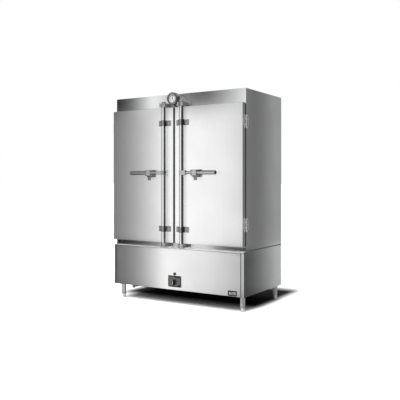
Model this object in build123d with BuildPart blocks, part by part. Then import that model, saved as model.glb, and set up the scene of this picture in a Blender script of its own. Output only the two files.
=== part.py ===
"""A free-standing two-door rice steamer cabinet, in millimetres.

The frame has its origin on the floor, under the middle of the object's box.
X runs to the right when the doors are faced, Y runs to the back and Z runs up.
Most distances in depth are given from the front face of the cabinet's frame.
"""

import os

from build123d import *

# Overall sizes
cabinet_width = 1370.0
body_depth = 700.0
cabinet_height = 1860.0
foot_height = 135.0
base_height = 363.0
ledge_height = 8.0
base_proud = 38.0

# Sheets, clearances, and the lap of two shapes that make one piece
sheet = 1.2
thin_sheet = 1.0
door_sheet = 1.2
weld_gap = 0.2
soft_gap = 0.3
pin_clearance = 0.1
turning_clearance = 0.3
hole_clearance = 0.5
lap = 1.0

# Front frame
header_height = 122.0
rail_height = 43.0
door_overlap = 22.0
stile_width = 45.0
mullion_width = 60.0
reveal_depth = 30.0
side_wrap = 48.0

# Steaming chamber
back_wall = 60.0
steam_dome = 70.0
partition_width = 50.0
sump_drop = 13.0
floor_front_overlap = 5.0
floor_overlap = 20.0
floor_hole = 25.0
floor_hole_pitch = 80.0
riser_gap = 23.0
baffle_top_drop = 35.0
slot_width = 60.0
slot_height = 9.0
slot_pitch = 120.0

# Racks and trays
tray_length = 400.0
tray_deep = 46.0
tray_lip = 22.0
tray_front = 47.0
tray_side_gap = 7.5
tray_hole = 10.0
tray_hole_pitch = 60.0
pan_side_gap = 4.0
rack_levels = 12
first_level_rise = 65.0
top_level_drop = 80.0
upright_thickness = 3.0
upright_width = 20.0
upright_inset = 25.0
runner_reach = 24.0
runner_drop = 18.0
runner_front_gap = 2.0
tray_levels_used = (4, 8)

# Doors
door_gap = 12.0
door_thickness = 40.0
door_middle_gap = 12.0
door_side_inset = 3.0
door_edge_round = 2.0
gasket_inset = 4.0
gasket_width = 14.0

# Door hinges
hinge_height = 111.0
hinge_upper_drop = 155.0
hinge_lower_rise = 180.0
hinge_leaf = 2.5
hinge_leaf_reach = 40.0
leaf_clip = 14.0
leaf_edge_gap = 0.5
leaf_tuck = 2.5
leaf_screw_count = 4
leaf_screw_reach = 24.0
leaf_screw_radius = 3.5
leaf_screw_proud = 1.0
knuckle_count = 5
knuckle_gap = 0.3
knuckle_web = 4.0
barrel_gap = 0.5
barrel_pin_radius = 2.5

# Lock rods and their saddles
rod_x = 94.0
rod_radius = 19.0
rod_door_gap = 3.0
rod_bottom_rise = 3.0
rod_top_rise = 50.0
rod_chamfer = 2.0
saddle_upper_drop = 138.0
saddle_lower_rise = 122.0
saddle_height = 50.0
saddle_sheet = 4.0
saddle_flange = 41.7

# Keepers on the frame and the rods' cams in them
keeper_top_rise = 20.0
keeper_bottom_rise = 25.0
keeper_height = 32.0
keeper_plate = 4.0
keeper_flange = 21.0
keeper_cheek = 8.0
cheek_clearance = 3.0
lip_thickness = 5.0
lip_clearance = 1.5
journal_radius = 11.0
mouth_clearance = 2.0
neck_clearance = 2.0
cam_inset = 3.0
cam_thickness = 14.0
cam_height = 20.0

# Levers
lever_rise = 615.0
lever_stand_off = 38.0
lever_reach = 358.0
lever_bar_radius = 12.0
grip_start = 200.0
grip_radius = 17.5
grip_round = 10.5
hub_reach = 56.0
hub_height = 36.0
hub_door_gap = 1.0
arm_thickness = 32.0
collar_start = 127.0
collar_width = 44.0
collar_depth = 36.0
collar_height = 46.0

# Lever rests on the doors, and the catch tongues that hang on them
fork_inner = 108.0
fork_outer = 184.0
fork_thickness = 6.0
fork_height = 50.0
fork_proud = 8.0
fork_clearance = 1.0
rest_plate = 4.0
rest_margin = 10.0
rest_edge = 2.0
tongue_gap = 4.0
tongue_stand_off = 32.0
tongue_length = 34.0
tongue_thickness = 4.0
tongue_round = 6.0
tongue_barrel = 5.0
tongue_pin = 3.0
ear_thickness = 5.0

# Dial gauge on the header
gauge_drop = 47.0
gauge_radius = 53.5
gauge_back = 34.0
gauge_front = 82.0
gauge_wall = 2.5
gauge_round = 3.0
bezel_opening = 40.0
bezel_lip = 3.0
bezel_round = 4.0
glass_thickness = 2.0
dial_drop = 7.0
dial_thickness = 1.0
movement_radius = 27.0
pivot_radius = 1.5
pivot_length = 4.0
needle_gap = 1.5
needle_length = 31.0
needle_tail = 10.0
needle_width = 3.5
needle_tip = 1.0
needle_hub = 4.5
needle_thickness = 1.0
elbow_drop = 108.0
elbow_radius = 10.0
elbow_pipe = 8.0
elbow_nut = 13.0
elbow_nut_thickness = 8.0

# Base casing, its ledge and its front panel
flange_width = 26.0
panel_groove = 6.0
panel_floor_gap = 2.0
panel_return = 18.0
ledge_overhang = 3.5
ledge_shelf_inset = 12.0
ledge_web_inset = 19.0
panel_screw_inset = 21.0
panel_screw_edge = 14.0
panel_screw_radius = 6.0
panel_screw_head = 2.5
panel_screw_shank = 2.5
panel_screw_length = 14.0
screw_slot_length = 8.0
screw_slot_width = 1.2

# Controls
plate_width = 138.0
plate_height = 100.0
plate_rise = 76.0
knob_x = -4.0
knob_drop = 7.0
knob_radius = 25.0
knob_skirt = 8.0
knob_skirt_round = 2.0
knob_bar_width = 13.0
knob_bar_height = 20.0
knob_bar_length = 48.0
knob_bar_round = 3.0
knob_gap = 0.5
shaft_radius = 3.0
shaft_bore_depth = 18.0
shaft_end_gap = 1.0
shaft_hole_clearance = 2.0
switch_size = 52.0
switch_depth = 55.0
lamp_rise = 66.0
lamp_bezel = 13.0
lamp_barrel = 11.0
lamp_proud = 7.0
lamp_round = 3.0
lamp_depth = 48.0

# Water tank and heaters
tank_side_gap = 80.0
tank_front = 40.0
tank_back_gap = 80.0
tank_rise = 165.0
tank_flange = 2.0
heater_count = 3
heater_pitch = 320.0
heater_radius = 6.0
heater_leg_gap = 90.0
heater_end_gap = 55.0
heater_rise = 40.0
heater_head_width = 130.0
heater_head_height = 36.0
heater_head_depth = 26.0

# Water inlet and its float
valve_x = -80.0
valve_rise = 170.0
valve_width = 34.0
valve_depth = 44.0
valve_height = 34.0
valve_slot_back = 4.0
inlet_radius = 10.5
inlet_wall = 3.0
inlet_bore_start = 5.0
inlet_collar = 6.0
inlet_collar_radius = 16.0
float_radius = 34.0
float_length = 90.0
float_round = 10.0
float_reach = 170.0
float_rod_radius = 3.0
float_eye_radius = 7.0
float_eye_width = 8.0
float_eye_gap = 1.0

# Drain
drain_inset = 20.0
drain_front = 30.0
drain_pipe_radius = 10.5
drain_pipe_wall = 2.5
drain_body_radius = 14.0
drain_body_drop = 11.0
drain_body_height = 32.0
drain_socket_radius = 10.0
drain_socket_depth = 12.0
drain_stem_radius = 4.0
drain_stem_length = 12.0
drain_hub_gap = 1.0
drain_hub_wall = 4.0
drain_lever_length = 58.0
drain_lever_width = 14.0
drain_lever_thickness = 3.0

# Wiring parts in the base
contactor_x = 230.0
contactor_size = (150.0, 60.0, 90.0)
contactor_back = 60.0
contactor_poles = 3
contactor_slot = (24.0, 12.0, 25.0)
rail_margin = 30.0
rail_thickness = 8.0
rail_rise = 40.0
gland_x = 450.0
gland_rise = 85.0
gland_radius = 14.0
gland_bore = 8.0
gland_thread = 10.0
gland_reach = 34.0
gland_nut_radius = 17.0
gland_nut = 7.0
gland_round = 4.0

# Steam vents
vent_x = 330.0
vent_drop = 26.0
vent_radius = 16.0
vent_wall = 1.5
vent_collar = 2.0
vent_collar_radius = 28.0
back_reach = 40.0

# Feet
foot_side_inset = 52.0
foot_front_inset = 78.0
foot_back_inset = 26.0
sleeve_radius = 21.0
sleeve_wall = 4.0
sleeve_end_z = 42.0
foot_shoulder_gap = 0.3
foot_shoulder_reach = 2.0
foot_shoulder_height = 5.0
foot_cone_inset = 1.0
foot_tip_radius = 16.0
foot_tip_round = 3.0
foot_stem_length = 70.0

# Places in depth worked out from the sizes above
front_reach = door_gap + door_thickness + lever_stand_off + grip_radius
face_y = (front_reach - body_depth - back_reach) / 2
body_back_y = face_y + body_depth
base_front_y = face_y - base_proud
chamber_depth = body_depth - back_wall
chamber_back_y = face_y + chamber_depth
chamber_front_y = face_y + reveal_depth + weld_gap
baffle_depth = tray_front + tray_length + riser_gap
tank_back = chamber_depth - tank_back_gap
door_back_y = face_y - door_gap
door_front_y = door_back_y - door_thickness
rod_stand_off = rod_radius + rod_door_gap
rod_y = door_front_y - rod_stand_off
lever_y = door_front_y - lever_stand_off
plate_front_y = base_front_y - sheet
hinge_y = face_y - door_gap / 2
elbow_reach = (gauge_back + gauge_front) / 2
glass_stand_off = gauge_front - bezel_lip - glass_thickness
dial_stand_off = glass_stand_off - dial_drop
drain_y = tank_front + drain_front
float_pin_y = face_y + tank_back - sheet - valve_depth + float_eye_radius + float_eye_gap

# Places in height worked out from the sizes above
base_top_z = foot_height + base_height
ledge_top_z = base_top_z + ledge_height
roof_z = cabinet_height - sheet
door_top_z = cabinet_height - header_height
door_bottom_z = ledge_top_z + rail_height
opening_top_z = door_top_z - door_overlap
opening_bottom_z = door_bottom_z + door_overlap
chamber_top_z = opening_top_z + steam_dome
flange_z = opening_bottom_z - sump_drop
floor_z = flange_z + sheet
runner_pitch = (opening_top_z - top_level_drop - floor_z - first_level_rise) / (rack_levels - 1)
hinge_heights = (door_top_z - hinge_upper_drop, door_bottom_z + hinge_lower_rise)
saddle_heights = (door_top_z - saddle_upper_drop, door_bottom_z + saddle_lower_rise)
keeper_heights = (door_top_z + keeper_top_rise, ledge_top_z + keeper_bottom_rise)
rod_bottom_z = ledge_top_z + rod_bottom_rise
rod_top_z = door_top_z + rod_top_rise
lever_z = door_bottom_z + lever_rise
tongue_drop = collar_height / 2 + tongue_barrel + tongue_gap
tongue_z = lever_z - tongue_drop
gauge_z = cabinet_height - gauge_drop
elbow_z = cabinet_height - elbow_drop
vent_z = chamber_top_z - vent_drop
floor_sheet_z = foot_height + sheet
panel_top_z = base_top_z - panel_floor_gap
panel_bottom_z = foot_height + panel_floor_gap
panel_screw_heights = (panel_bottom_z + panel_screw_edge, panel_top_z - panel_screw_edge)
plate_z = foot_height + plate_rise
knob_z = plate_z - knob_drop
lamp_z = plate_z + lamp_rise
tank_bottom_z = foot_height + tank_rise
valve_z = tank_bottom_z + valve_rise
heater_z = tank_bottom_z + heater_rise
drain_body_top = foot_height - drain_body_drop
drain_body_bottom = drain_body_top - drain_body_height
drain_stem_z = drain_body_top - drain_body_height / 2
gland_z = foot_height + gland_rise

# Places across and round sizes worked out from the sizes above
half_width = cabinet_width / 2
opening_outer_x = half_width - stile_width
half_mullion = mullion_width / 2
half_partition = partition_width / 2
column_middle_x = (half_partition + opening_outer_x) / 2
column_half = (opening_outer_x - half_partition) / 2
runner_end = 2 * weld_gap + upright_thickness + runner_reach
lip_half = column_half - tray_side_gap
pan_half = column_half - runner_end - pan_side_gap
tank_half = opening_outer_x - tank_side_gap
door_inner_x = door_middle_gap / 2
door_outer_x = half_width - door_side_inset
barrel_radius = door_gap / 2 - barrel_gap
hinge_x = half_width + barrel_radius + barrel_gap
hub_radius = rod_radius + rod_door_gap - hub_door_gap
cheek_in = rod_radius + cheek_clearance
cam_length = 2 * (rod_radius - cam_inset)
panel_half_width = half_width - flange_width - panel_groove
panel_screw_x = panel_half_width - panel_screw_inset
heater_length = tank_back - tank_front - heater_leg_gap / 2 - heater_end_gap
heater_places = [(index - (heater_count - 1) / 2) * heater_pitch for index in range(heater_count)]
drain_x = drain_inset - tank_half
drain_bore = drain_pipe_radius - drain_pipe_wall
sleeve_bore = sleeve_radius - sleeve_wall
foot_x = half_width - foot_side_inset
foot_front_y = base_front_y + foot_front_inset
foot_back_y = body_back_y - foot_back_inset
foot_places = ((-foot_x, foot_front_y), (foot_x, foot_front_y), (-foot_x, foot_back_y), (foot_x, foot_back_y))
sides = (("left", -1), ("right", 1))


def block(x_range, y_range, z_range, mode=Mode.ADD):
    """Adds or cuts a box between two corners, in the part being built."""
    ranges = (x_range, y_range, z_range)
    size = [max(ends) - min(ends) for ends in ranges]
    middle = [(ends[0] + ends[1]) / 2 for ends in ranges]
    with Locations(tuple(middle)):
        Box(*size, mode=mode)


def round_bar(start, direction, length, radius, mode=Mode.ADD):
    """Adds or cuts a cylinder that starts at a point and runs along a direction."""
    with Locations(Plane(origin=start, z_dir=direction)):
        Cylinder(radius, length, align=(Align.CENTER, Align.CENTER, Align.MIN), mode=mode)


def sheet_hole(x, y, z, radius):
    """Cuts a round hole along Y through a sheet whose outer face is at y."""
    round_bar((x, y - 2 * sheet, z), (0, 1, 0), 4 * sheet, radius, Mode.SUBTRACT)


def depth(*distances):
    """Places in Y from distances behind the frame's face."""
    return tuple(face_y + distance for distance in distances)


def about(middle, size):
    """The two ends of a size that is centred on a place."""
    return (middle - size / 2, middle + size / 2)


def fitting_count(length, pitch):
    """How many holes of a pattern fit in a length with a margin at its ends."""
    return max(1, int((length - pitch / 2) // pitch))


def side_panel(side):
    """One outer side sheet of the body, behind the front frame's wrap."""
    with BuildPart() as panel:
        wall = (side * (half_width - sheet), side * half_width)
        block(wall, (face_y + side_wrap + weld_gap, body_back_y), (base_top_z, roof_z))
    return panel


def roof_panel():
    """The flat sheet on top, over the sides, the back and the front frame."""
    with BuildPart() as roof:
        block((-half_width, half_width), (face_y, body_back_y), (roof_z, cabinet_height))
    return roof


def back_panel():
    """The outer back sheet, with a hole for each steam vent."""
    inner_half = half_width - sheet - weld_gap
    with BuildPart() as back:
        block((-inner_half, inner_half), (body_back_y - sheet, body_back_y), (base_top_z, roof_z))
        for _, side in sides:
            sheet_hole(side * vent_x, body_back_y, vent_z, vent_radius + hole_clearance)
    return back


def front_frame():
    """The frame round both door openings: stiles, header, mullion and bottom rail."""
    strip = (face_y, face_y + sheet)
    reveal = (face_y, face_y + reveal_depth)
    lip = (face_y + reveal_depth - sheet, face_y + reveal_depth)
    between = opening_outer_x - weld_gap
    with BuildPart() as frame:
        for _, side in sides:
            block((side * opening_outer_x, side * half_width), strip, (base_top_z, roof_z))
            wrap = (side * (half_width - sheet), side * half_width)
            block(wrap, (face_y, face_y + side_wrap), (base_top_z, roof_z))
            inner = (side * opening_outer_x, side * (opening_outer_x + sheet))
            block(inner, reveal, (base_top_z, roof_z))
        block((-between, between), strip, (opening_top_z, roof_z))
        block((-between, between), reveal, (opening_top_z, opening_top_z + sheet))
        block((-between, between), lip, (opening_top_z, chamber_top_z))
        block((-between, between), strip, (base_top_z, opening_bottom_z))
        block((-between, between), reveal, (opening_bottom_z - sheet, opening_bottom_z))
        block((-between, between), lip, (flange_z, opening_bottom_z))
        mullion_ends = (opening_bottom_z + weld_gap, opening_top_z - weld_gap)
        block((-half_mullion, half_mullion), strip, mullion_ends)
        for _, side in sides:
            block((side * (half_mullion - sheet), side * half_mullion), reveal, mullion_ends)
    return frame


def chamber_liner():
    """The chamber's inner side, back and ceiling sheets."""
    side_depth = (chamber_front_y, chamber_back_y)
    inner_half = opening_outer_x - weld_gap
    with BuildPart() as liner:
        for _, side in sides:
            wall = (side * opening_outer_x, side * (opening_outer_x + thin_sheet))
            block(wall, side_depth, (flange_z, chamber_top_z))
        ceiling_z = (chamber_top_z + weld_gap, chamber_top_z + weld_gap + thin_sheet)
        block((-inner_half, inner_half), side_depth, ceiling_z)
        back = (chamber_back_y - thin_sheet, chamber_back_y)
        block((-inner_half, inner_half), back, (flange_z, chamber_top_z))
        for _, side in sides:
            sheet_hole(side * vent_x, chamber_back_y, vent_z, vent_radius + hole_clearance)
    return liner


def centre_partition():
    """The hollow wall between the two steaming compartments."""
    front_y = chamber_front_y + weld_gap
    back_y = chamber_back_y - thin_sheet - weld_gap
    ends = (flange_z, chamber_top_z)
    with BuildPart() as partition:
        block((-half_partition, half_partition), (front_y, back_y), ends)
        hollow = half_partition - thin_sheet
        block((-hollow, hollow), (front_y + thin_sheet, back_y - thin_sheet), ends, Mode.SUBTRACT)
    return partition


def wall_insulation():
    """Foam slabs in the sides, the back and the roof."""
    slab_front = face_y + side_wrap + 2 * weld_gap
    slab_back = body_back_y - sheet - soft_gap
    with BuildPart() as foam:
        for _, side in sides:
            slab_x = (side * (opening_outer_x + thin_sheet + soft_gap), side * (half_width - sheet - soft_gap))
            block(slab_x, (slab_front, slab_back), (base_top_z + soft_gap, roof_z - soft_gap))
        inner = opening_outer_x - soft_gap
        block((-inner, inner), (chamber_back_y + soft_gap, slab_back), (flange_z, roof_z - soft_gap))
        roof_low = chamber_top_z + 2 * soft_gap + thin_sheet
        block((-inner, inner), (slab_front, chamber_back_y), (roof_low, roof_z - soft_gap))
        for _, side in sides:
            start = (side * vent_x, chamber_back_y, vent_z)
            round_bar(start, (0, 1, 0), back_wall, vent_radius + hole_clearance, Mode.SUBTRACT)
    return foam


def chamber_floor():
    """Perforated plates over the water tank, one in each compartment."""
    outer = tank_half + floor_overlap
    inner = half_partition + weld_gap
    y_range = depth(tank_front - floor_front_overlap, tank_back + floor_overlap)
    columns = fitting_count(outer - inner, floor_hole_pitch)
    rows = fitting_count(y_range[1] - y_range[0], floor_hole_pitch)
    with BuildPart() as floor:
        for _, side in sides:
            block((side * inner, side * outer), y_range, (flange_z, floor_z))
            middle = (side * (inner + outer) / 2, sum(y_range) / 2)
            with BuildSketch(Plane.XY.offset(flange_z)):
                with Locations(middle):
                    with GridLocations(floor_hole_pitch, floor_hole_pitch, columns, rows):
                        Circle(floor_hole / 2)
            extrude(amount=sheet, mode=Mode.SUBTRACT)
    return floor


def tray_rack(side):
    """Uprights and stacked runners on both walls of one compartment."""
    walls = ((half_partition, 1), (opening_outer_x, -1))
    front_y = face_y + tray_front - runner_front_gap
    upright_starts = (front_y + upright_inset, front_y + tray_length - upright_inset - upright_width)
    with BuildPart() as rack:
        for wall, inward in walls:
            face = wall + inward * weld_gap
            inner = face + inward * upright_thickness
            for start in upright_starts:
                upright_z = (floor_z + weld_gap, opening_top_z - weld_gap)
                block((side * face, side * inner), (start, start + upright_width), upright_z)
            for level in range(rack_levels):
                top = floor_z + first_level_rise + level * runner_pitch
                leg = inner + inward * weld_gap
                runner_y = (front_y, front_y + tray_length)
                block((side * leg, side * (leg + inward * runner_reach)), runner_y, (top - sheet, top))
                block((side * leg, side * (leg + inward * sheet)), runner_y, (top - runner_drop, top))
    return rack


def steam_baffles():
    """Slotted plates behind the trays, which spread the rising steam."""
    inner = half_partition + weld_gap
    outer = opening_outer_x - weld_gap
    top = chamber_top_z - baffle_top_drop
    columns = fitting_count(outer - inner, slot_pitch)
    with BuildPart() as baffles:
        for _, side in sides:
            plate_y = depth(baffle_depth, baffle_depth + sheet)
            block((side * inner, side * outer), plate_y, (floor_z, top))
            with BuildSketch(Plane.XZ.offset(-face_y - baffle_depth)):
                with Locations((side * column_middle_x, (floor_z + top) / 2)):
                    with GridLocations(slot_pitch, runner_pitch, columns, rack_levels - 1):
                        SlotOverall(slot_width, slot_height)
            extrude(amount=-sheet, mode=Mode.SUBTRACT)
    return baffles


def steam_trays():
    """Perforated pans that hang by their lips on the runners."""
    y_front = face_y + tray_front
    y_back = y_front + tray_length
    columns = fitting_count(2 * pan_half, tray_hole_pitch)
    rows = fitting_count(tray_length - 2 * tray_lip, tray_hole_pitch)
    with BuildPart() as trays:
        for (_, side), level in zip(sides, tray_levels_used):
            lip_z = floor_z + first_level_rise + level * runner_pitch
            middle = side * column_middle_x
            bottom_z = lip_z - tray_deep
            block(about(middle, 2 * lip_half), (y_front, y_back), (lip_z, lip_z + thin_sheet))
            pan_y = (y_front + tray_lip, y_back - tray_lip)
            block(about(middle, 2 * pan_half), pan_y, (bottom_z, lip_z))
            well_x = about(middle, 2 * (pan_half - thin_sheet))
            well_y = (pan_y[0] + thin_sheet, pan_y[1] - thin_sheet)
            block(well_x, well_y, (bottom_z + thin_sheet, lip_z + thin_sheet), Mode.SUBTRACT)
            with BuildSketch(Plane.XY.offset(bottom_z)):
                with Locations((middle, (y_front + y_back) / 2)):
                    with GridLocations(tray_hole_pitch, tray_hole_pitch, columns, rows):
                        Circle(tray_hole / 2)
            extrude(amount=thin_sheet, mode=Mode.SUBTRACT)
    return trays


def base_casing():
    """The base's left, right and back sheets."""
    inner = half_width - sheet
    z_range = (foot_height, base_top_z - weld_gap)
    with BuildPart() as casing:
        for _, side in sides:
            block((side * inner, side * half_width), (base_front_y + sheet, body_back_y), z_range)
        back_half = inner - weld_gap
        block((-back_half, back_half), (body_back_y - sheet, body_back_y), z_range)
        sheet_hole(valve_x, body_back_y, valve_z, inlet_radius + hole_clearance)
        sheet_hole(gland_x, body_back_y, gland_z, gland_thread + hole_clearance)
    return casing


def base_floor():
    """The base's bottom sheet, with the drain's hole."""
    inner = half_width - sheet - weld_gap
    y_range = (base_front_y + sheet + weld_gap, body_back_y - sheet - weld_gap)
    with BuildPart() as floor:
        block((-inner, inner), y_range, (foot_height, floor_sheet_z))
        start = (drain_x, face_y + drain_y, foot_height - sheet)
        round_bar(start, (0, 0, 1), 3 * sheet, drain_pipe_radius + hole_clearance, Mode.SUBTRACT)
    return floor


def base_top_frame():
    """The ledge over the base's front, and the strips beside the panel."""
    ledge_front = base_front_y - ledge_overhang
    with BuildPart() as frame:
        top = (ledge_top_z - sheet, ledge_top_z)
        block((-half_width, half_width), (ledge_front, face_y - weld_gap), top)
        block((-half_width, half_width), (ledge_front, ledge_front + sheet), (base_top_z, ledge_top_z))
        for _, side in sides:
            strip = (side * (half_width - flange_width), side * half_width)
            strip_z = (foot_height, base_top_z - weld_gap)
            block(strip, (base_front_y, base_front_y + sheet), strip_z)
        shelf = half_width - sheet - weld_gap
        shelf_z = (base_top_z - sheet, base_top_z)
        block((-shelf, shelf), (base_front_y + ledge_shelf_inset, face_y), shelf_z)
        web_y = (face_y - ledge_web_inset, face_y - ledge_web_inset + sheet)
        block((-shelf, shelf), web_y, (base_top_z, top[0]))
    return frame


def access_panel():
    """The removable front panel of the base, with its folded edges."""
    with BuildPart() as panel:
        x_range = (-panel_half_width, panel_half_width)
        z_range = (panel_bottom_z, panel_top_z)
        block(x_range, (base_front_y, base_front_y + panel_return), z_range)
        inner_x = (-panel_half_width + sheet, panel_half_width - sheet)
        inner_z = (panel_bottom_z + sheet, panel_top_z - sheet)
        block(inner_x, (base_front_y + sheet, base_front_y + panel_return), inner_z, Mode.SUBTRACT)
        sheet_hole(knob_x, base_front_y, knob_z, shaft_radius + shaft_hole_clearance)
        sheet_hole(0, base_front_y, lamp_z, lamp_barrel + hole_clearance)
        for z in panel_screw_heights:
            sheet_hole(panel_screw_x, base_front_y, z, panel_screw_shank + hole_clearance)
    return panel


def panel_screws():
    """The two screws on the panel's right edge; its left edge hooks in."""
    with BuildPart() as screws:
        for z in panel_screw_heights:
            head = (panel_screw_x, base_front_y, z)
            round_bar(head, (0, -1, 0), panel_screw_head, panel_screw_radius)
            round_bar(head, (0, 1, 0), panel_screw_length, panel_screw_shank)
            slot_y = (base_front_y - panel_screw_head, base_front_y - panel_screw_head / 2)
            slot_x = about(panel_screw_x, screw_slot_length)
            block(slot_x, slot_y, about(z, screw_slot_width), Mode.SUBTRACT)
    return screws


def water_tank():
    """The steam tank: a well under the chamber with a wide top flange."""
    well_y = depth(tank_front, tank_back)
    flange_half = opening_outer_x - weld_gap
    flange_y = (chamber_front_y + weld_gap, chamber_back_y - thin_sheet - weld_gap)
    with BuildPart() as tank:
        block((-flange_half, flange_half), flange_y, (flange_z - tank_flange, flange_z - weld_gap))
        block((-tank_half, tank_half), well_y, (tank_bottom_z, flange_z - tank_flange))
        inner_x = (-tank_half + sheet, tank_half - sheet)
        inner_y = (well_y[0] + sheet, well_y[1] - sheet)
        block(inner_x, inner_y, (tank_bottom_z + sheet, flange_z), Mode.SUBTRACT)
        drain = (drain_x, face_y + drain_y, tank_bottom_z - sheet)
        round_bar(drain, (0, 0, 1), 3 * sheet, drain_bore + hole_clearance, Mode.SUBTRACT)
        sheet_hole(valve_x, well_y[1], valve_z, inlet_radius + hole_clearance)
        for x in heater_places:
            for leg_x in about(x, heater_leg_gap):
                sheet_hole(leg_x, well_y[0], heater_z, heater_radius + hole_clearance)
    return tank


def heating_elements():
    """Hairpin elements in the tank, each with a head on the tank's front wall."""
    head_y = face_y + tank_front
    bend = heater_leg_gap / 2
    end_y = head_y + heater_length
    with BuildPart() as heaters:
        for x in heater_places:
            head_z = about(heater_z, heater_head_height)
            block(about(x, heater_head_width), (head_y - heater_head_depth, head_y), head_z)
            with BuildLine(Plane.XY.offset(heater_z)) as path:
                out = Line((x - bend, head_y), (x - bend, end_y))
                ThreePointArc(out @ 1, (x, end_y + bend), (x + bend, end_y))
                Line((x + bend, end_y), (x + bend, head_y))
            with BuildSketch(Plane(origin=(x - bend, head_y, heater_z), z_dir=(0, 1, 0))):
                Circle(heater_radius)
            sweep(path=path.line)
    return heaters


def float_valve():
    """The water inlet: a stub behind the base, and a valve in the tank."""
    wall_y = face_y + tank_back - sheet
    body_front = wall_y - valve_depth
    with BuildPart() as valve:
        pipe_length = body_back_y + back_reach - wall_y
        round_bar((valve_x, wall_y - lap, valve_z), (0, 1, 0), pipe_length + lap, inlet_radius)
        round_bar((valve_x, body_back_y, valve_z), (0, 1, 0), inlet_collar, inlet_collar_radius)
        body_x = about(valve_x, valve_width)
        body_z = about(valve_z, valve_height)
        block(body_x, (body_front, wall_y), body_z)
        slot_x = about(valve_x, float_eye_width + 2 * turning_clearance)
        slot_y = (body_front, float_pin_y + float_eye_radius + valve_slot_back)
        block(slot_x, slot_y, body_z, Mode.SUBTRACT)
        round_bar((body_x[0], float_pin_y, valve_z), (1, 0, 0), valve_width, barrel_pin_radius)
        bore = (valve_x, body_back_y + inlet_bore_start, valve_z)
        round_bar(bore, (0, 1, 0), back_reach, inlet_radius - inlet_wall, Mode.SUBTRACT)
    return valve


def float_arm():
    """The float and its arm, which hang on the valve's pin."""
    with BuildPart() as arm:
        end = (valve_x - float_length / 2, float_pin_y - float_reach, valve_z)
        round_bar(end, (1, 0, 0), float_length, float_radius)
        fillet(arm.faces().filter_by(GeomType.PLANE).edges(), float_round)
        eye = (valve_x - float_eye_width / 2, float_pin_y, valve_z)
        round_bar(eye, (1, 0, 0), float_eye_width, float_eye_radius)
        rod_start = (valve_x, float_pin_y - float_eye_radius / 2, valve_z)
        round_bar(rod_start, (0, -1, 0), float_reach - float_radius / 2, float_rod_radius)
        hole_start = (valve_x - valve_width, float_pin_y, valve_z)
        hole_radius = barrel_pin_radius + pin_clearance
        round_bar(hole_start, (1, 0, 0), 2 * valve_width, hole_radius, Mode.SUBTRACT)
    return arm


def drain_valve():
    """The drain pipe from the tank and the ball valve under the base."""
    y = face_y + drain_y
    with BuildPart() as valve:
        pipe_start = (drain_x, y, drain_body_top - lap)
        round_bar(pipe_start, (0, 0, 1), tank_bottom_z - drain_body_top + lap, drain_pipe_radius)
        bottom = (drain_x, y, drain_body_bottom)
        round_bar(bottom, (0, 0, 1), drain_body_height, drain_body_radius)
        stem = (drain_x + drain_body_radius - lap, y, drain_stem_z)
        round_bar(stem, (1, 0, 0), drain_stem_length + lap, drain_stem_radius)
        round_bar(bottom, (0, 0, 1), tank_bottom_z - drain_body_bottom, drain_bore, Mode.SUBTRACT)
        round_bar(bottom, (0, 0, 1), drain_socket_depth, drain_socket_radius, Mode.SUBTRACT)
    return valve


def drain_lever():
    """The drain's lever, lying back when shut."""
    y = face_y + drain_y
    hub_start = drain_x + drain_body_radius + drain_hub_gap
    hub_end = drain_x + drain_body_radius + drain_stem_length
    with BuildPart() as lever_part:
        hub = (hub_start, y, drain_stem_z)
        round_bar(hub, (1, 0, 0), hub_end - hub_start, drain_stem_radius + drain_hub_wall)
        plate_x = (hub_end - drain_lever_thickness, hub_end)
        block(plate_x, (y, y + drain_lever_length), about(drain_stem_z, drain_lever_width))
        hole_start = (hub_start - lap, y, drain_stem_z)
        hole_radius = drain_stem_radius + pin_clearance
        round_bar(hole_start, (1, 0, 0), 2 * drain_stem_length, hole_radius, Mode.SUBTRACT)
    return lever_part


def contactor():
    """The switchgear block and its rail on the base's floor."""
    wide, deep, tall = contactor_size
    slot_wide, slot_deep, slot_tall = contactor_slot
    y_front = face_y + contactor_back
    y_back = y_front + deep
    top = floor_sheet_z + tall
    with BuildPart() as gear:
        block((contactor_x, contactor_x + wide), (y_front, y_back), (floor_sheet_z, top))
        for pole in range(contactor_poles):
            slot_middle = contactor_x + wide * (pole + 0.5) / contactor_poles
            slot_y = (y_front, y_front + slot_deep)
            block(about(slot_middle, slot_wide), slot_y, (top - slot_tall, top), Mode.SUBTRACT)
        rail_x = (contactor_x - rail_margin, contactor_x + wide + rail_margin)
        rail_z = (floor_sheet_z, floor_sheet_z + rail_rise)
        block(rail_x, (y_back, y_back + rail_thickness), rail_z)
    return gear


def selector_switch():
    """The rotary switch behind the panel, and its shaft."""
    with BuildPart() as switch:
        body_y = (base_front_y + sheet, base_front_y + sheet + switch_depth)
        block(about(knob_x, switch_size), body_y, about(knob_z, switch_size))
        shaft_start = (knob_x, body_y[0] + lap, knob_z)
        shaft_end_y = plate_front_y - knob_gap - shaft_bore_depth + shaft_end_gap
        round_bar(shaft_start, (0, -1, 0), shaft_start[1] - shaft_end_y, shaft_radius)
    return switch


def control_plate():
    """The marked plate behind the knob."""
    with BuildPart() as plate:
        plate_y = (plate_front_y, base_front_y)
        block(about(0, plate_width), plate_y, about(plate_z, plate_height))
        sheet_hole(knob_x, plate_front_y, knob_z, shaft_radius + shaft_hole_clearance)
    return plate


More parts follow.
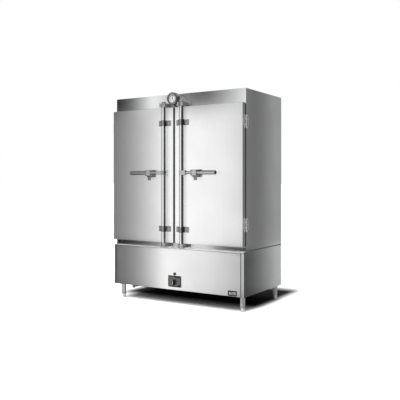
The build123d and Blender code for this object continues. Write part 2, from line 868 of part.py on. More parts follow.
def selector_knob():
    """The turning knob, a round skirt with a grip bar across it."""
    back_y = plate_front_y - knob_gap
    skirt_y = back_y - knob_skirt
    with BuildPart() as knob:
        round_bar((knob_x, back_y, knob_z), (0, -1, 0), knob_skirt, knob_radius)
        fillet(knob.faces().sort_by(Axis.Y)[0].edges(), knob_skirt_round)
        bar_y = (skirt_y - knob_bar_height, skirt_y)
        block(about(knob_x, knob_bar_width), bar_y, about(knob_z, knob_bar_length))
        fillet(knob.faces().sort_by(Axis.Y)[0].edges(), knob_bar_round)
        bore = (knob_x, back_y, knob_z)
        round_bar(bore, (0, -1, 0), shaft_bore_depth, shaft_radius + pin_clearance, Mode.SUBTRACT)
    return knob


def pilot_lamp():
    """The round pilot lamp above the control plate."""
    with BuildPart() as lamp:
        start = (0, base_front_y, lamp_z)
        round_bar(start, (0, -1, 0), lamp_proud, lamp_bezel)
        fillet(lamp.faces().sort_by(Axis.Y)[0].edges(), lamp_round)
        round_bar(start, (0, 1, 0), lamp_depth, lamp_barrel)
    return lamp


def cable_gland():
    """The gland in the base's back, where a supply cable would enter."""
    with BuildPart() as gland:
        inner = (gland_x, body_back_y - sheet - gland_nut, gland_z)
        outer = (gland_x, body_back_y, gland_z)
        for nut_start in (outer, inner):
            with BuildSketch(Plane(origin=nut_start, z_dir=(0, 1, 0))):
                RegularPolygon(gland_nut_radius, 6)
            extrude(amount=gland_nut)
        round_bar(inner, (0, 1, 0), gland_nut + sheet, gland_thread)
        round_bar(outer, (0, 1, 0), gland_reach, gland_radius)
        fillet(gland.faces().sort_by(Axis.Y)[-1].edges(), gland_round)
        bore_length = gland_reach + sheet + gland_nut
        round_bar(inner, (0, 1, 0), bore_length, gland_bore, Mode.SUBTRACT)
    return gland


def gauge_case():
    """The gauge's case and bezel, its stem, elbow and the nut on the header."""
    with BuildPart() as case:
        back = (0, face_y - gauge_back, gauge_z)
        round_bar(back, (0, -1, 0), gauge_front - gauge_back, gauge_radius)
        fillet(case.faces().sort_by(Axis.Y)[0].edges(), bezel_round)
        fillet(case.faces().sort_by(Axis.Y)[-1].edges(), gauge_round)
        elbow = (0, face_y - elbow_reach, elbow_z)
        round_bar(elbow, (0, 0, 1), gauge_z - elbow_z, elbow_pipe)
        round_bar((0, face_y, elbow_z), (0, -1, 0), elbow_reach, elbow_pipe)
        with Locations(elbow):
            Sphere(elbow_radius)
        with BuildSketch(Plane(origin=(0, face_y, elbow_z), z_dir=(0, -1, 0))):
            RegularPolygon(elbow_nut, 6)
        extrude(amount=elbow_nut_thickness)
        floor = (0, face_y - gauge_back - gauge_wall, gauge_z)
        glass_front = face_y - glass_stand_off - glass_thickness
        inside = gauge_radius - gauge_wall
        round_bar(floor, (0, -1, 0), floor[1] - glass_front, inside, Mode.SUBTRACT)
        round_bar(floor, (0, -1, 0), gauge_front, bezel_opening, Mode.SUBTRACT)
    return case


def gauge_dial():
    """The gauge's white dial plate, with its movement behind."""
    with BuildPart() as dial:
        back = (0, face_y - dial_stand_off + dial_thickness, gauge_z)
        round_bar(back, (0, -1, 0), dial_thickness, gauge_radius - gauge_wall - weld_gap)
        movement = (0, face_y - gauge_back - gauge_wall, gauge_z)
        round_bar(movement, (0, -1, 0), movement[1] - back[1], movement_radius)
        pivot = (0, face_y - dial_stand_off, gauge_z)
        round_bar(pivot, (0, -1, 0), pivot_length, pivot_radius)
    return dial


def gauge_glass():
    """The flat glass held by the bezel."""
    with BuildPart() as glass:
        start = (0, face_y - glass_stand_off, gauge_z)
        round_bar(start, (0, -1, 0), glass_thickness, gauge_radius - gauge_wall - weld_gap)
    return glass


def gauge_needle():
    """The gauge's needle, pointing up at mid scale."""
    back = (0, face_y - dial_stand_off - needle_gap, gauge_z)
    half = needle_width / 2
    tip = needle_tip / 2
    with BuildPart() as needle:
        with BuildSketch(Plane(origin=back, x_dir=(1, 0, 0), z_dir=(0, -1, 0))):
            with BuildLine():
                Polyline(
                    (-half, -needle_tail),
                    (half, -needle_tail),
                    (tip, needle_length),
                    (-tip, needle_length),
                    close=True,
                )
            make_face()
            Circle(needle_hub)
            Circle(pivot_radius + pin_clearance, mode=Mode.SUBTRACT)
        extrude(amount=needle_thickness)
    return needle


def cam_keepers():
    """Forked keepers on the frame, open to the front, for the rods' cams."""
    cheek_out = cheek_in + keeper_cheek
    cam_swing = ((cam_length / 2) ** 2 + (cam_thickness / 2) ** 2) ** 0.5
    lip_back = rod_y - cam_swing - lip_clearance
    lip_front = lip_back - lip_thickness
    mouth = journal_radius + mouth_clearance
    with BuildPart() as keepers:
        for _, side in sides:
            x = side * rod_x
            for z in keeper_heights:
                z_range = about(z, keeper_height)
                block(about(x, 2 * (cheek_out + keeper_flange)), (face_y - keeper_plate, face_y), z_range)
                for hand in (-1, 1):
                    block((x + hand * cheek_in, x + hand * cheek_out), (lip_front, face_y), z_range)
                    block((x + hand * mouth, x + hand * cheek_out), (lip_front, lip_back), z_range)
    return keepers


def lock_rod(side):
    """A full-height lock rod with a cam in each keeper."""
    x = side * rod_x
    neck_length = keeper_height + 2 * neck_clearance
    with BuildPart() as rod:
        round_bar((x, rod_y, rod_bottom_z), (0, 0, 1), rod_top_z - rod_bottom_z, rod_radius)
        chamfer(rod.faces().filter_by(GeomType.PLANE).edges(), rod_chamfer)
        for z in keeper_heights:
            with BuildSketch(Plane.XY.offset(z - neck_length / 2)):
                with Locations((x, rod_y)):
                    Circle(rod_radius + lap)
                    Circle(journal_radius, mode=Mode.SUBTRACT)
            extrude(amount=neck_length, mode=Mode.SUBTRACT)
            block(about(x, cam_length), about(rod_y, cam_thickness), about(z, cam_height))
    return rod


def lever(side):
    """The lever: a hub round the rod, a bar, a square collar and a round grip."""
    x = side * rod_x
    away = (side, 0, 0)
    with BuildPart() as handle:
        hub_start = (x, rod_y, lever_z - hub_height / 2)
        round_bar(hub_start, (0, 0, 1), hub_height, hub_radius)
        block((x, x + side * hub_reach), about(lever_y, arm_thickness), about(lever_z, hub_height))
        bore = (x, rod_y, lever_z - hub_height)
        round_bar(bore, (0, 0, 1), 2 * hub_height, rod_radius + pin_clearance, Mode.SUBTRACT)
        bar_start = (x + side * (hub_reach - lap), lever_y, lever_z)
        round_bar(bar_start, away, grip_start - hub_reach + 2 * lap, lever_bar_radius)
        collar_x = (x + side * collar_start, x + side * (collar_start + collar_width))
        block(collar_x, about(lever_y, collar_depth), about(lever_z, collar_height))
        grip = (x + side * grip_start, lever_y, lever_z)
        round_bar(grip, away, lever_reach - grip_start, grip_radius)
        ends = handle.faces().sort_by(Axis.X)
        fillet(ends[-1 if side > 0 else 0].edges(), grip_round)
    return handle


def door_skin(side):
    """The door's outer pan, folded back round its four edges."""
    with BuildPart() as skin:
        block((side * door_inner_x, side * door_outer_x), (door_front_y, door_back_y), (door_bottom_z, door_top_z))
        fillet(skin.faces().sort_by(Axis.Y)[0].edges(), door_edge_round)
        x_range = (side * (door_inner_x + door_sheet), side * (door_outer_x - door_sheet))
        z_range = (door_bottom_z + door_sheet, door_top_z - door_sheet)
        block(x_range, (door_front_y + door_sheet, door_back_y), z_range, Mode.SUBTRACT)
    return skin


def door_inner_pan(side):
    """The sheet that closes the back of the door."""
    fit = door_sheet + weld_gap
    with BuildPart() as pan:
        x_range = (side * (door_inner_x + fit), side * (door_outer_x - fit))
        z_range = (door_bottom_z + fit, door_top_z - fit)
        block(x_range, (door_back_y - door_sheet, door_back_y), z_range)
    return pan


def door_core(side):
    """The foam in the door."""
    fit = door_sheet + soft_gap
    with BuildPart() as core:
        x_range = (side * (door_inner_x + fit), side * (door_outer_x - fit))
        y_range = (door_front_y + fit, door_back_y - fit)
        block(x_range, y_range, (door_bottom_z + fit, door_top_z - fit))
    return core


def door_gasket(side):
    """Four strips of seal round the back of the door."""
    y_range = (door_back_y, face_y - soft_gap)
    low_x = door_inner_x + gasket_inset
    high_x = door_outer_x - gasket_inset
    low_z = door_bottom_z + gasket_inset
    high_z = door_top_z - gasket_inset
    with BuildPart() as gasket:
        for x in (low_x, high_x - gasket_width):
            block((side * x, side * (x + gasket_width)), y_range, (low_z, high_z))
        between = (side * (low_x + gasket_width + weld_gap), side * (high_x - gasket_width - weld_gap))
        for z in (low_z, high_z - gasket_width):
            block(between, y_range, (z, z + gasket_width))
    return gasket


def saddle(x, z):
    """A strap over the rod, with a flange screwed to the door on each side."""
    inner = rod_radius + turning_clearance
    outer = inner + saddle_sheet
    with BuildSketch(Plane.XY.offset(z - saddle_height / 2)) as profile:
        with Locations((x, (door_front_y + rod_y) / 2)):
            Rectangle(2 * outer, door_front_y - rod_y)
        with Locations((x, rod_y)):
            Circle(outer)
        with Locations((x, door_front_y - saddle_sheet / 2)):
            Rectangle(2 * (outer + saddle_flange), saddle_sheet)
        with Locations((x, rod_y)):
            Circle(inner, mode=Mode.SUBTRACT)
        with Locations((x, (door_front_y + rod_y) / 2)):
            Rectangle(2 * inner, door_front_y - rod_y, mode=Mode.SUBTRACT)
        with Locations((x, door_front_y + outer / 2)):
            Rectangle(4 * outer, outer, mode=Mode.SUBTRACT)
    return profile


def door_brackets(side):
    """The rod's two saddles and the lever's rest with its tongue's pin."""
    x = side * rod_x
    with BuildPart() as brackets:
        for z in saddle_heights:
            extrude(saddle(x, z).sketch, amount=saddle_height)
        rest_x = (x + side * (fork_inner - rest_margin), x + side * (fork_outer + fork_thickness + rest_margin))
        rest_z = (tongue_z - tongue_barrel - rest_edge, lever_z + fork_height / 2 + rest_edge)
        block(rest_x, (door_front_y - rest_plate, door_front_y), rest_z)
        notch = lever_bar_radius + fork_clearance
        fork_front = lever_y - fork_proud
        for start in (fork_inner, fork_outer):
            fork_x = (x + side * start, x + side * (start + fork_thickness))
            block(fork_x, (fork_front, door_front_y), about(lever_z, fork_height))
            block(fork_x, (fork_front, lever_y + notch), about(lever_z, 2 * notch), Mode.SUBTRACT)
        pin_y = door_front_y - tongue_stand_off
        for start in (collar_start, collar_start + collar_width - ear_thickness):
            ear_x = (x + side * start, x + side * (start + ear_thickness))
            block(ear_x, (pin_y - tongue_barrel, door_front_y), about(tongue_z, 2 * tongue_barrel))
        pin_start = (x + side * (collar_start + lap), pin_y, tongue_z)
        round_bar(pin_start, (side, 0, 0), collar_width - 2 * lap, tongue_pin)
    return brackets


def catch_tongue(side):
    """The small tongue that hangs on the lever rest's pin."""
    pin_y = door_front_y - tongue_stand_off
    start = side * (rod_x + collar_start + ear_thickness + turning_clearance)
    length = collar_width - 2 * (ear_thickness + turning_clearance)
    with BuildPart() as tongue:
        round_bar((start, pin_y, tongue_z), (side, 0, 0), length, tongue_barrel)
        plate_z = (tongue_z - tongue_length, tongue_z)
        block((start, start + side * length), about(pin_y, tongue_thickness), plate_z)
        corners = tongue.faces().sort_by(Axis.Z)[0].edges().filter_by(Axis.Y)
        fillet(corners, tongue_round)
        hole = (side * rod_x, pin_y, tongue_z)
        round_bar(hole, (side, 0, 0), collar_start + collar_width, tongue_pin + pin_clearance, Mode.SUBTRACT)
    return tongue


def knuckle_range(z, index):
    """The height range of one of a hinge's knuckles."""
    step = hinge_height / knuckle_count
    low = z - hinge_height / 2 + index * step
    return (low + knuckle_gap / 2, low + step - knuckle_gap / 2)


def leaf_plate(side, x, y_near, y_far, z):
    """A hinge leaf with clipped outer corners, on the side of the cabinet or door."""
    near = hinge_height / 2
    far = near - leaf_clip
    waist = (y_near + y_far) / 2
    with BuildSketch(Plane.YZ.offset(x)) as outline:
        with BuildLine():
            Polyline(
                (y_near, z - near),
                (waist, z - near),
                (y_far, z - far),
                (y_far, z + far),
                (waist, z + near),
                (y_near, z + near),
                close=True,
            )
        make_face()
    return extrude(outline.sketch, amount=side * hinge_leaf, mode=Mode.PRIVATE)


def leaf_screws(side, x, y, z):
    """A row of raised screw heads on a hinge leaf."""
    for index in range(leaf_screw_count):
        row = index - (leaf_screw_count - 1) / 2
        head = (x, y, z + row * hinge_height / (leaf_screw_count + 1))
        round_bar(head, (side, 0, 0), leaf_screw_proud, leaf_screw_radius)


def cabinet_hinge_leaves():
    """The hinges' leaves on the frame's wraps, with their knuckles and pins."""
    with BuildPart() as leaves:
        for _, side in sides:
            x = side * half_width
            outer_x = x + side * hinge_leaf
            axis_x = side * hinge_x
            for z in hinge_heights:
                add(leaf_plate(side, x, face_y + leaf_edge_gap, face_y + hinge_leaf_reach, z))
                leaf_screws(side, outer_x, face_y + leaf_screw_reach, z)
                for index in range(0, knuckle_count, 2):
                    low, high = knuckle_range(z, index)
                    block((x, outer_x), (face_y - door_gap / 4, face_y + lap), (low, high))
                    round_bar((axis_x, hinge_y, low), (0, 0, 1), high - low, barrel_radius)
                pin_length = hinge_height - 2 * knuckle_gap
                pin_start = (axis_x, hinge_y, z - pin_length / 2)
                round_bar(pin_start, (0, 0, 1), pin_length, barrel_pin_radius)
    return leaves


def door_hinge_leaves(side):
    """The hinges' leaves on one door's edge, with their knuckles."""
    x = side * door_outer_x
    outer_x = x + side * hinge_leaf
    axis_x = side * hinge_x
    web_x = (x, axis_x - side * (barrel_pin_radius + leaf_edge_gap))
    web_y = (door_back_y + leaf_edge_gap, door_back_y + leaf_edge_gap + knuckle_web)
    with BuildPart() as leaves:
        for z in hinge_heights:
            add(leaf_plate(side, x, door_back_y + leaf_tuck, door_front_y + door_edge_round, z))
            leaf_screws(side, outer_x, door_back_y - leaf_screw_reach, z)
            for index in range(1, knuckle_count, 2):
                low, high = knuckle_range(z, index)
                block(web_x, web_y, (low, high))
                round_bar((axis_x, hinge_y, low), (0, 0, 1), high - low, barrel_radius)
                bore = barrel_pin_radius + pin_clearance
                round_bar((axis_x, hinge_y, low), (0, 0, 1), high - low, bore, Mode.SUBTRACT)
    return leaves


def foot_sleeves():
    """The four fixed tubes under the base."""
    with BuildPart() as sleeves:
        for x, y in foot_places:
            with BuildSketch(Plane.XY.offset(sleeve_end_z)):
                with Locations((x, y)):
                    Circle(sleeve_radius)
                    Circle(sleeve_bore, mode=Mode.SUBTRACT)
            extrude(amount=foot_height - sleeve_end_z)
    return sleeves


def foot(x, y):
    """A screw foot: a stem in the sleeve, a shoulder ring and a rounded tip."""
    shoulder_top = sleeve_end_z - foot_shoulder_gap
    shoulder_bottom = shoulder_top - foot_shoulder_height
    with BuildPart() as screw_foot:
        with BuildSketch(Plane.XY.offset(shoulder_bottom)):
            with Locations((x, y)):
                Circle(sleeve_radius - foot_cone_inset)
        with BuildSketch(Plane.XY):
            with Locations((x, y)):
                Circle(foot_tip_radius)
        loft()
        fillet(screw_foot.faces().sort_by(Axis.Z)[0].edges(), foot_tip_round)
        shoulder_radius = sleeve_radius + foot_shoulder_reach
        round_bar((x, y, shoulder_bottom), (0, 0, 1), foot_shoulder_height, shoulder_radius)
        round_bar((x, y, shoulder_top), (0, 0, 1), foot_stem_length, sleeve_bore - turning_clearance)
    return screw_foot


def vent_pipes():
    """A steam outlet from each compartment through the back, with a collar outside."""
    start_y = chamber_back_y - thin_sheet
    length = body_back_y + back_reach - start_y
    with BuildPart() as vents:
        for _, side in sides:
            start = (side * vent_x, start_y, vent_z)
            round_bar(start, (0, 1, 0), length, vent_radius)
            round_bar((side * vent_x, body_back_y, vent_z), (0, 1, 0), vent_collar, vent_collar_radius)
            round_bar(start, (0, 1, 0), length, vent_radius - vent_wall, Mode.SUBTRACT)
    return vents


def all_pieces():
    """Every sub-part by the name it is kept under."""
    pieces = {
        "roof_panel": roof_panel(),
        "back_panel": back_panel(),
        "front_frame": front_frame(),
        "chamber_liner": chamber_liner(),
        "centre_partition": centre_partition(),
        "wall_insulation": wall_insulation(),
        "chamber_floor": chamber_floor(),
        "steam_baffles": steam_baffles(),
        "steam_trays": steam_trays(),
        "base_casing": base_casing(),
        "base_floor": base_floor(),
        "base_top_frame": base_top_frame(),
        "access_panel": access_panel(),
        "panel_screws": panel_screws(),
        "water_tank": water_tank(),
        "heating_elements": heating_elements(),
        "float_valve": float_valve(),
        "float_arm": float_arm(),
        "drain_valve": drain_valve(),
        "drain_lever": drain_lever(),
        "contactor": contactor(),
        "selector_switch": selector_switch(),
        "control_plate": control_plate(),
        "selector_knob": selector_knob(),
        "pilot_lamp": pilot_lamp(),
        "cable_gland": cable_gland(),
        "gauge_case": gauge_case(),
        "gauge_dial": gauge_dial(),
        "gauge_glass": gauge_glass(),
        "gauge_needle": gauge_needle(),
        "cam_keepers": cam_keepers(),
        "cabinet_hinge_leaves": cabinet_hinge_leaves(),
        "foot_sleeves": foot_sleeves(),
        "vent_pipes": vent_pipes(),
    }
    for name, side in sides:
        pieces[f"side_panel_{name}"] = side_panel(side)
        pieces[f"tray_rack_{name}"] = tray_rack(side)
        pieces[f"door_skin_{name}"] = door_skin(side)
        pieces[f"door_inner_pan_{name}"] = door_inner_pan(side)
        pieces[f"door_core_{name}"] = door_core(side)
        pieces[f"door_gasket_{name}"] = door_gasket(side)
        pieces[f"door_brackets_{name}"] = door_brackets(side)
        pieces[f"door_hinge_leaves_{name}"] = door_hinge_leaves(side)
        pieces[f"lock_rod_{name}"] = lock_rod(side)
        pieces[f"lever_{name}"] = lever(side)
        pieces[f"catch_tongue_{name}"] = catch_tongue(side)
    foot_names = ("front_left", "front_right", "back_left", "back_right")
    for name, (x, y) in zip(foot_names, foot_places):
        pieces[f"foot_{name}"] = foot(x, y)
    return pieces


os.makedirs("parts", exist_ok=True)
for label, piece in all_pieces().items():
    piece.part.label = label
    export_step(piece.part, f"parts/{label}.step")
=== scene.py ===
import math

import bpy
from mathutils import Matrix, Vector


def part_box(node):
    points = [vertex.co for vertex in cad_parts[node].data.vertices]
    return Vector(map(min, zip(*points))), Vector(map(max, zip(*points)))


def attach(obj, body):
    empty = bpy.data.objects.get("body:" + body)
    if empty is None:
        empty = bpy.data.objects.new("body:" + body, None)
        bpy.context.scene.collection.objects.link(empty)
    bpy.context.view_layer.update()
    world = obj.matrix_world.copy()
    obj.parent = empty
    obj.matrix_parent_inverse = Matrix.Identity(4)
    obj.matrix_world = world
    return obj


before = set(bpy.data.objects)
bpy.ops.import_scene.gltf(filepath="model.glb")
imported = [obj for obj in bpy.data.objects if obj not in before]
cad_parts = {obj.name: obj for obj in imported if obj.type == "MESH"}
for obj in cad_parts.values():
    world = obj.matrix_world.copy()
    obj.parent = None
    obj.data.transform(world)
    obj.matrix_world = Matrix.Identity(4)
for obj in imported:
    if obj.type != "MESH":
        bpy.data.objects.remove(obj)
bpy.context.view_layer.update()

# The room: a pale floor, a camera at standing height in front and to the right,
# and a soft lamp overhead. The floor is brighter to the camera, so it reads as
# white paper, and a painted shadow, a soft dark patch in its colour, deepens the shadow under the
# cabinet.
quarter = math.pi / 2
floor_size = 400.0
floor_white = 1.8
floor_mirrored = 0.45
floor_pale = 0.6
shade_edges = (("Y", -0.26, 0.04), ("Y", 1.15, 0.75), ("X", -0.95, -0.72), ("X", 0.77, 0.58))
shade_depth = 0.985
camera_place = (2.9719, -4.69484, 1.08762)
camera_turn = math.radians(31.57)
camera_lens = 53.87
camera_film = 36
camera_reach = 500
camera_shift = (-0.0107, -0.0462)
lamp_strength = 4.2
lamp_angle = math.radians(60)
lamp_turn = (math.radians(24), math.radians(-2), 0)
room_strength = 0.28


def pick(*things):
    """Selects only these objects; the last one is the active one."""
    bpy.ops.object.select_all(action="DESELECT")
    for thing in things:
        thing.select_set(True)
    bpy.context.view_layer.objects.active = things[-1]


def seat(piece, name):
    """Names a piece and moves its place into its mesh."""
    pick(piece)
    bpy.ops.object.transform_apply(location=True, rotation=True, scale=True)
    piece.name = name
    piece.data.name = name
    return piece


def grey(level):
    """A neutral colour."""
    return level, level, level, 1


def new_finish(name):
    """A material with its node tree and its shader."""
    material = bpy.data.materials.new(name)
    material.use_nodes = True
    return material, material.node_tree, material.node_tree.nodes["Principled BSDF"]


def feed(tree, target, sources):
    """Gives a node's inputs their values, or joins them to other nodes' outputs."""
    for socket, source in dict(sources).items():
        if isinstance(source, bpy.types.NodeSocket):
            tree.links.new(source, target.inputs[socket])
        else:
            target.inputs[socket].default_value = source


def node(tree, kind, sources=(), **settings):
    """Adds a node, sets its properties and feeds its inputs."""
    made = tree.nodes.new("ShaderNode" + kind)
    for key, value in settings.items():
        setattr(made, key, value)
    feed(tree, made, sources)
    return made


def maths(tree, operation, *terms, **settings):
    """What a Math node makes of two or three numbers or outputs."""
    return node(tree, "Math", enumerate(terms), operation=operation, **settings).outputs[0]


def ranged(tree, value, low, high, start=0, end=1, change="LINEAR"):
    """Spreads a value that runs from low to high over start to end."""
    return node(tree, "MapRange", {
        "Value": value, "From Min": low, "From Max": high, "To Min": start, "To Max": end,
    }, interpolation_type=change).outputs["Result"]


def blended(tree, share, first, second):
    """A colour between two colours."""
    sources = {"Factor": share, "A": first, "B": second}
    return node(tree, "Mix", sources, data_type="RGBA").outputs["Result"]


def dimmed(tree, colour, share):
    """A colour made lighter or darker."""
    return node(tree, "VectorMath", {0: colour, "Scale": share}, operation="SCALE").outputs[0]


def own_place(tree):
    """The place on the piece itself, in metres."""
    return node(tree, "TexCoord").outputs["Object"]


def show(tree, look):
    """Makes a shader what the material shows."""
    feed(tree, tree.nodes["Material Output"], {"Surface": look.outputs[0]})


def seen_plainly(tree):
    """1 for rays that show the background: the camera's, and those off metal or through glass."""
    path = node(tree, "LightPath").outputs
    seen = maths(tree, "MAXIMUM", path["Is Camera Ray"], path["Is Glossy Ray"])
    return maths(tree, "MAXIMUM", seen, path["Is Transmission Ray"])


bpy.ops.mesh.primitive_plane_add(size=floor_size)
floor = seat(bpy.context.object, "floor")
paper, tree, shader = new_finish("floor_paper")
tree.nodes.remove(shader)
tint = blended(tree, seen_plainly(tree), grey(floor_pale), grey(floor_white))
axes = node(tree, "SeparateXYZ", {0: own_place(tree)}).outputs
# Painted shadow: a soft dark patch in the floor's colour under the cabinet.
painted_shadow_patch = 1.0
for axis, start, end in shade_edges:
    edge = ranged(tree, axes[axis], start, end, change="SMOOTHSTEP")
    painted_shadow_patch = maths(tree, "MULTIPLY", painted_shadow_patch, edge)
left_light = ranged(tree, painted_shadow_patch, 0, 1, 1, 1 - shade_depth)
calmed = ranged(tree, node(tree, "LightPath").outputs["Is Glossy Ray"], 0, 1, 1, floor_mirrored)
shaded_tint = dimmed(tree, tint, maths(tree, "MULTIPLY", left_light, calmed))
show(tree, node(tree, "BsdfDiffuse", {"Color": shaded_tint}))
floor.data.materials.append(paper)

bpy.ops.object.camera_add(location=camera_place, rotation=(quarter, 0, camera_turn))
camera = bpy.context.object
camera.data.lens = camera_lens
camera.data.sensor_width = camera_film
camera.data.shift_x, camera.data.shift_y = camera_shift
camera.data.clip_end = camera_reach
bpy.context.scene.camera = camera

bpy.ops.object.light_add(type="SUN", rotation=lamp_turn)
lamp = bpy.context.object
lamp.data.energy = lamp_strength
lamp.data.angle = lamp_angle
lamp.visible_glossy = False

world = bpy.data.worlds.new("room")
bpy.context.scene.world = world
world.use_nodes = True
tree = world.node_tree
levels = {"Factor": seen_plainly(tree), "A": room_strength, "B": 1.0}
level = node(tree, "Mix", levels, data_type="FLOAT").outputs["Result"]
feed(tree, tree.nodes["Background"], {"Color": grey(1), "Strength": level})

bpy.context.scene.view_settings.view_transform = "Standard"

# Studio cards: tall graded screens round the cabinet, which only polished and
# brushed metal sees. They give the steel its soft light and dark bands.
mm = 0.001
card_height = 3.4
screen_front, screen_back = -1.118, 1.9
screen_left, screen_right = -1.7, 1.1
screen_near, screen_far = -1.0, 3.2
front_left, front_right = -3.2, 2.6
back_left, back_right = -1.6, 1.05
mat_left, mat_right = -2.4, 1.6
mat_fold, mat_end = -0.72, -0.36
side_mat_left = 0.69
front_glow = 1.3
dark_end = ((0.38, 0.66), (0.5, 0.11), (0.8, 0.06), (1.1, 0.02), (1.7, 0.03), (2.5, 0.4))
door_tones = ((-1.9, 0.12), (-1.32, 0.12), (-1.16, 0.23), (-0.98, 0.39), (-0.84, 0.56),
              (-0.73, 0.74), (-0.62, 0.98), (-0.37, 1.02), (-0.05, 0.88), (0.28, 0.79), *dark_end)
header_tones = ((-1.5, 0.004), (-1.33, 0.006), (-1.2, 0.05), (-1.1, 0.19), (-0.97, 0.56),
                (-0.86, 1.0), (-0.74, 0.77), (-0.56, 0.33), (-0.43, 0.18), (-0.31, 0.12),
                (-0.19, 0.10), (-0.119, 0.15), (-0.048, 0.26), (0.023, 0.36), (0.094, 0.46),
                (0.165, 0.58), (0.236, 0.74), (0.3, 0.84), *dark_end)
rail_tones = ((-1.2, 0.0), (-0.813, 0.0), (-0.75, 0.005), (-0.625, 0.03), (-0.5, 0.10),
              (-0.375, 0.22), (-0.312, 0.32), (-0.125, 0.7), (0.063, 0.82), (0.188, 0.75),
              (0.25, 0.5), (0.313, 0.26), (0.375, 0.12), (0.438, 0.03), (0.5, 0.0), (1.2, 0.0))
base_tones = ((-1.9, 0.22), (-1.3, 0.14), (-1.12, 0.20), (-0.97, 0.33), (-0.81, 0.58),
              (-0.69, 0.86), (-0.6, 0.95), (-0.3, 0.80), (-0.11, 0.72), (0.02, 0.65),
              (0.15, 0.55), (0.25, 0.42), *dark_end)
mat_tones = ((-0.9, 0.12), (-0.42, 0.14), (-0.26, 0.21), (-0.12, 0.33), (0.0, 0.58), (0.09, 0.86),
             (0.16, 0.93), (0.43, 0.78), (0.6, 0.68), (0.7, 0.6), (0.81, 0.5), (0.9, 0.38),
             (1.2, 0.1))
near_tones = ((-0.9, 0.05), (-0.26, 0.08), (0.0, 0.22), (0.16, 0.34), (0.6, 0.26), (0.9, 0.14),
              (1.2, 0.05))
side_tones = ((-0.95, 0.03), (-0.4, 0.06), (-0.25, 0.14), (0.4, 0.18), (0.47, 0.28),
              (0.52, 0.25), (0.58, 0.15), (0.72, 0.155), (0.86, 0.21), (0.97, 0.29),
              (1.08, 0.41), (1.15, 0.43), (1.3, 0.37), (3.0, 0.6))
base_side_tones = ((-0.9, 0.2), (0.2, 0.2), (0.36, 0.05), (0.5, 0.045), (0.62, 0.10),
                   (0.85, 0.23), (0.97, 0.31), (1.08, 0.52), (1.15, 0.62), (1.3, 0.55), (3.0, 0.6))
side_mat_tones = ((-3.2, 0.04), (-1.72, 0.04), (-1.6, 0.08), (-1.4, 0.18), (-1.2, 0.36),
                  (-1.1, 0.55), (-1.0, 0.55), (1.0, 0.6))
plain_tones = ((-2.0, 0.75), (-0.6, 0.5), (0.0, 0.95), (0.7, 0.6), (1.4, 0.85), (3.0, 0.7))
cap_tones = ((-3.2, 0.10), (2.6, 0.06))
header_edge = 1.832
card_cap = 2.12
rail_low = 0.42
strip_left, strip_right = -1.0, 0.78
strip_low, strip_high = 0.481, 0.529
strip_front = -0.5
mat_height = 6 * mm
mat_slant = 0.68
side_slant = 2.05
edge_softness = 0.01


def toned(tree, along, stops):
    """A brightness that changes along one direction, from a few chosen tones."""
    low, high = stops[0][0], stops[-1][0]
    ramp = node(tree, "ValToRGB", {"Fac": ranged(tree, along, low, high)})
    points = ramp.color_ramp.elements
    for index, (place, tone) in enumerate(stops):
        share = (place - low) / (high - low)
        point = points[index] if index < 2 else points.new(share)
        point.position = share
        point.color = grey(tone)
    return ramp.outputs["Color"]


def above(tree, height, edge):
    """0 below an edge and 1 above it, with a soft change."""
    return ranged(tree, height, edge - edge_softness, edge + edge_softness, change="SMOOTHSTEP")


def card(name, low, high, along, *bands, glow=1.0):
    """A flat screen between two corners, toned along one direction, in bands one above another."""
    sizes = [end - start for start, end in zip(low, high)]
    flat = sizes.index(0)
    bpy.ops.mesh.primitive_plane_add(
        size=1, location=[(start + end) / 2 for start, end in zip(low, high)],
        rotation=((quarter, 0, quarter), (quarter, 0, 0), (0, 0, 0))[flat])
    bpy.context.object.scale = (*sizes[:flat], *sizes[flat + 1:], 1)
    screen = seat(bpy.context.object, name)
    finish, tree, shader = new_finish(name)
    tree.nodes.remove(shader)
    place = own_place(tree)
    height = node(tree, "SeparateXYZ", {0: place}).outputs["Z"]
    reach = node(tree, "VectorMath", {0: place, 1: along}, operation="DOT_PRODUCT").outputs["Value"]
    colour = None
    for edge, tones in bands:
        band = toned(tree, reach, tones)
        if colour is not None:
            band = blended(tree, above(tree, height, edge), colour, band)
        colour = band
    show(tree, node(tree, "Emission", {"Color": colour, "Strength": glow}))
    screen.data.materials.append(finish)
    screen.visible_camera = False
    screen.visible_diffuse = False
    screen.visible_transmission = False
    screen.visible_shadow = False


across, deep = (1, 0, 0), (0, 1, 0)
aslant, side_aslant = (1, -mat_slant, 0), (-side_slant, 1, 0)
card("card_front", (front_left, screen_front, 0), (front_right, screen_front, card_height), across,
     (0, base_tones), (rail_low, door_tones), (header_edge, header_tones), (card_cap, cap_tones),
     glow=front_glow)
card("card_side", (screen_right, screen_near, 0), (screen_right, screen_far, card_height), deep,
     (0, base_side_tones), (rail_low, side_tones))
card("card_left", (screen_left, screen_near, 0), (screen_left, screen_far, card_height), deep,
     (0, plain_tones))
card("card_back", (back_left, screen_back, 0), (back_right, screen_back, card_height), across,
     (0, plain_tones))
card("card_rail", (strip_left, strip_front, strip_low), (strip_right, strip_front, strip_high),
     across, (0, rail_tones))
card("mat_front", (mat_left, screen_front, mat_height), (mat_right, mat_fold, mat_height), aslant,
     (0, mat_tones), glow=front_glow)
card("mat_near", (mat_left, mat_fold, mat_height), (mat_right, mat_end, mat_height), aslant,
     (0, near_tones), glow=front_glow)
card("mat_side", (side_mat_left, screen_near, mat_height), (screen_right, screen_far, mat_height),
     side_aslant, (0, side_mat_tones))

# The outer skins: roof, back, sides and the base's casing, in sheet steel with
# a fine upright brush and the faint haze that wiping leaves.
skin_colour = (0.78, 0.785, 0.79, 1)
upright_grain = (260, 260, 2.5)
level_grain = (2.5, 260, 260)
every_way_grain = (900, 900, 900)
brush_depth = 0.2 * mm


def evenly(tree, first, second):
    """Half of one value and half of another."""
    return maths(tree, "MULTIPLY_ADD", first, 0.5, maths(tree, "MULTIPLY", second, 0.5))


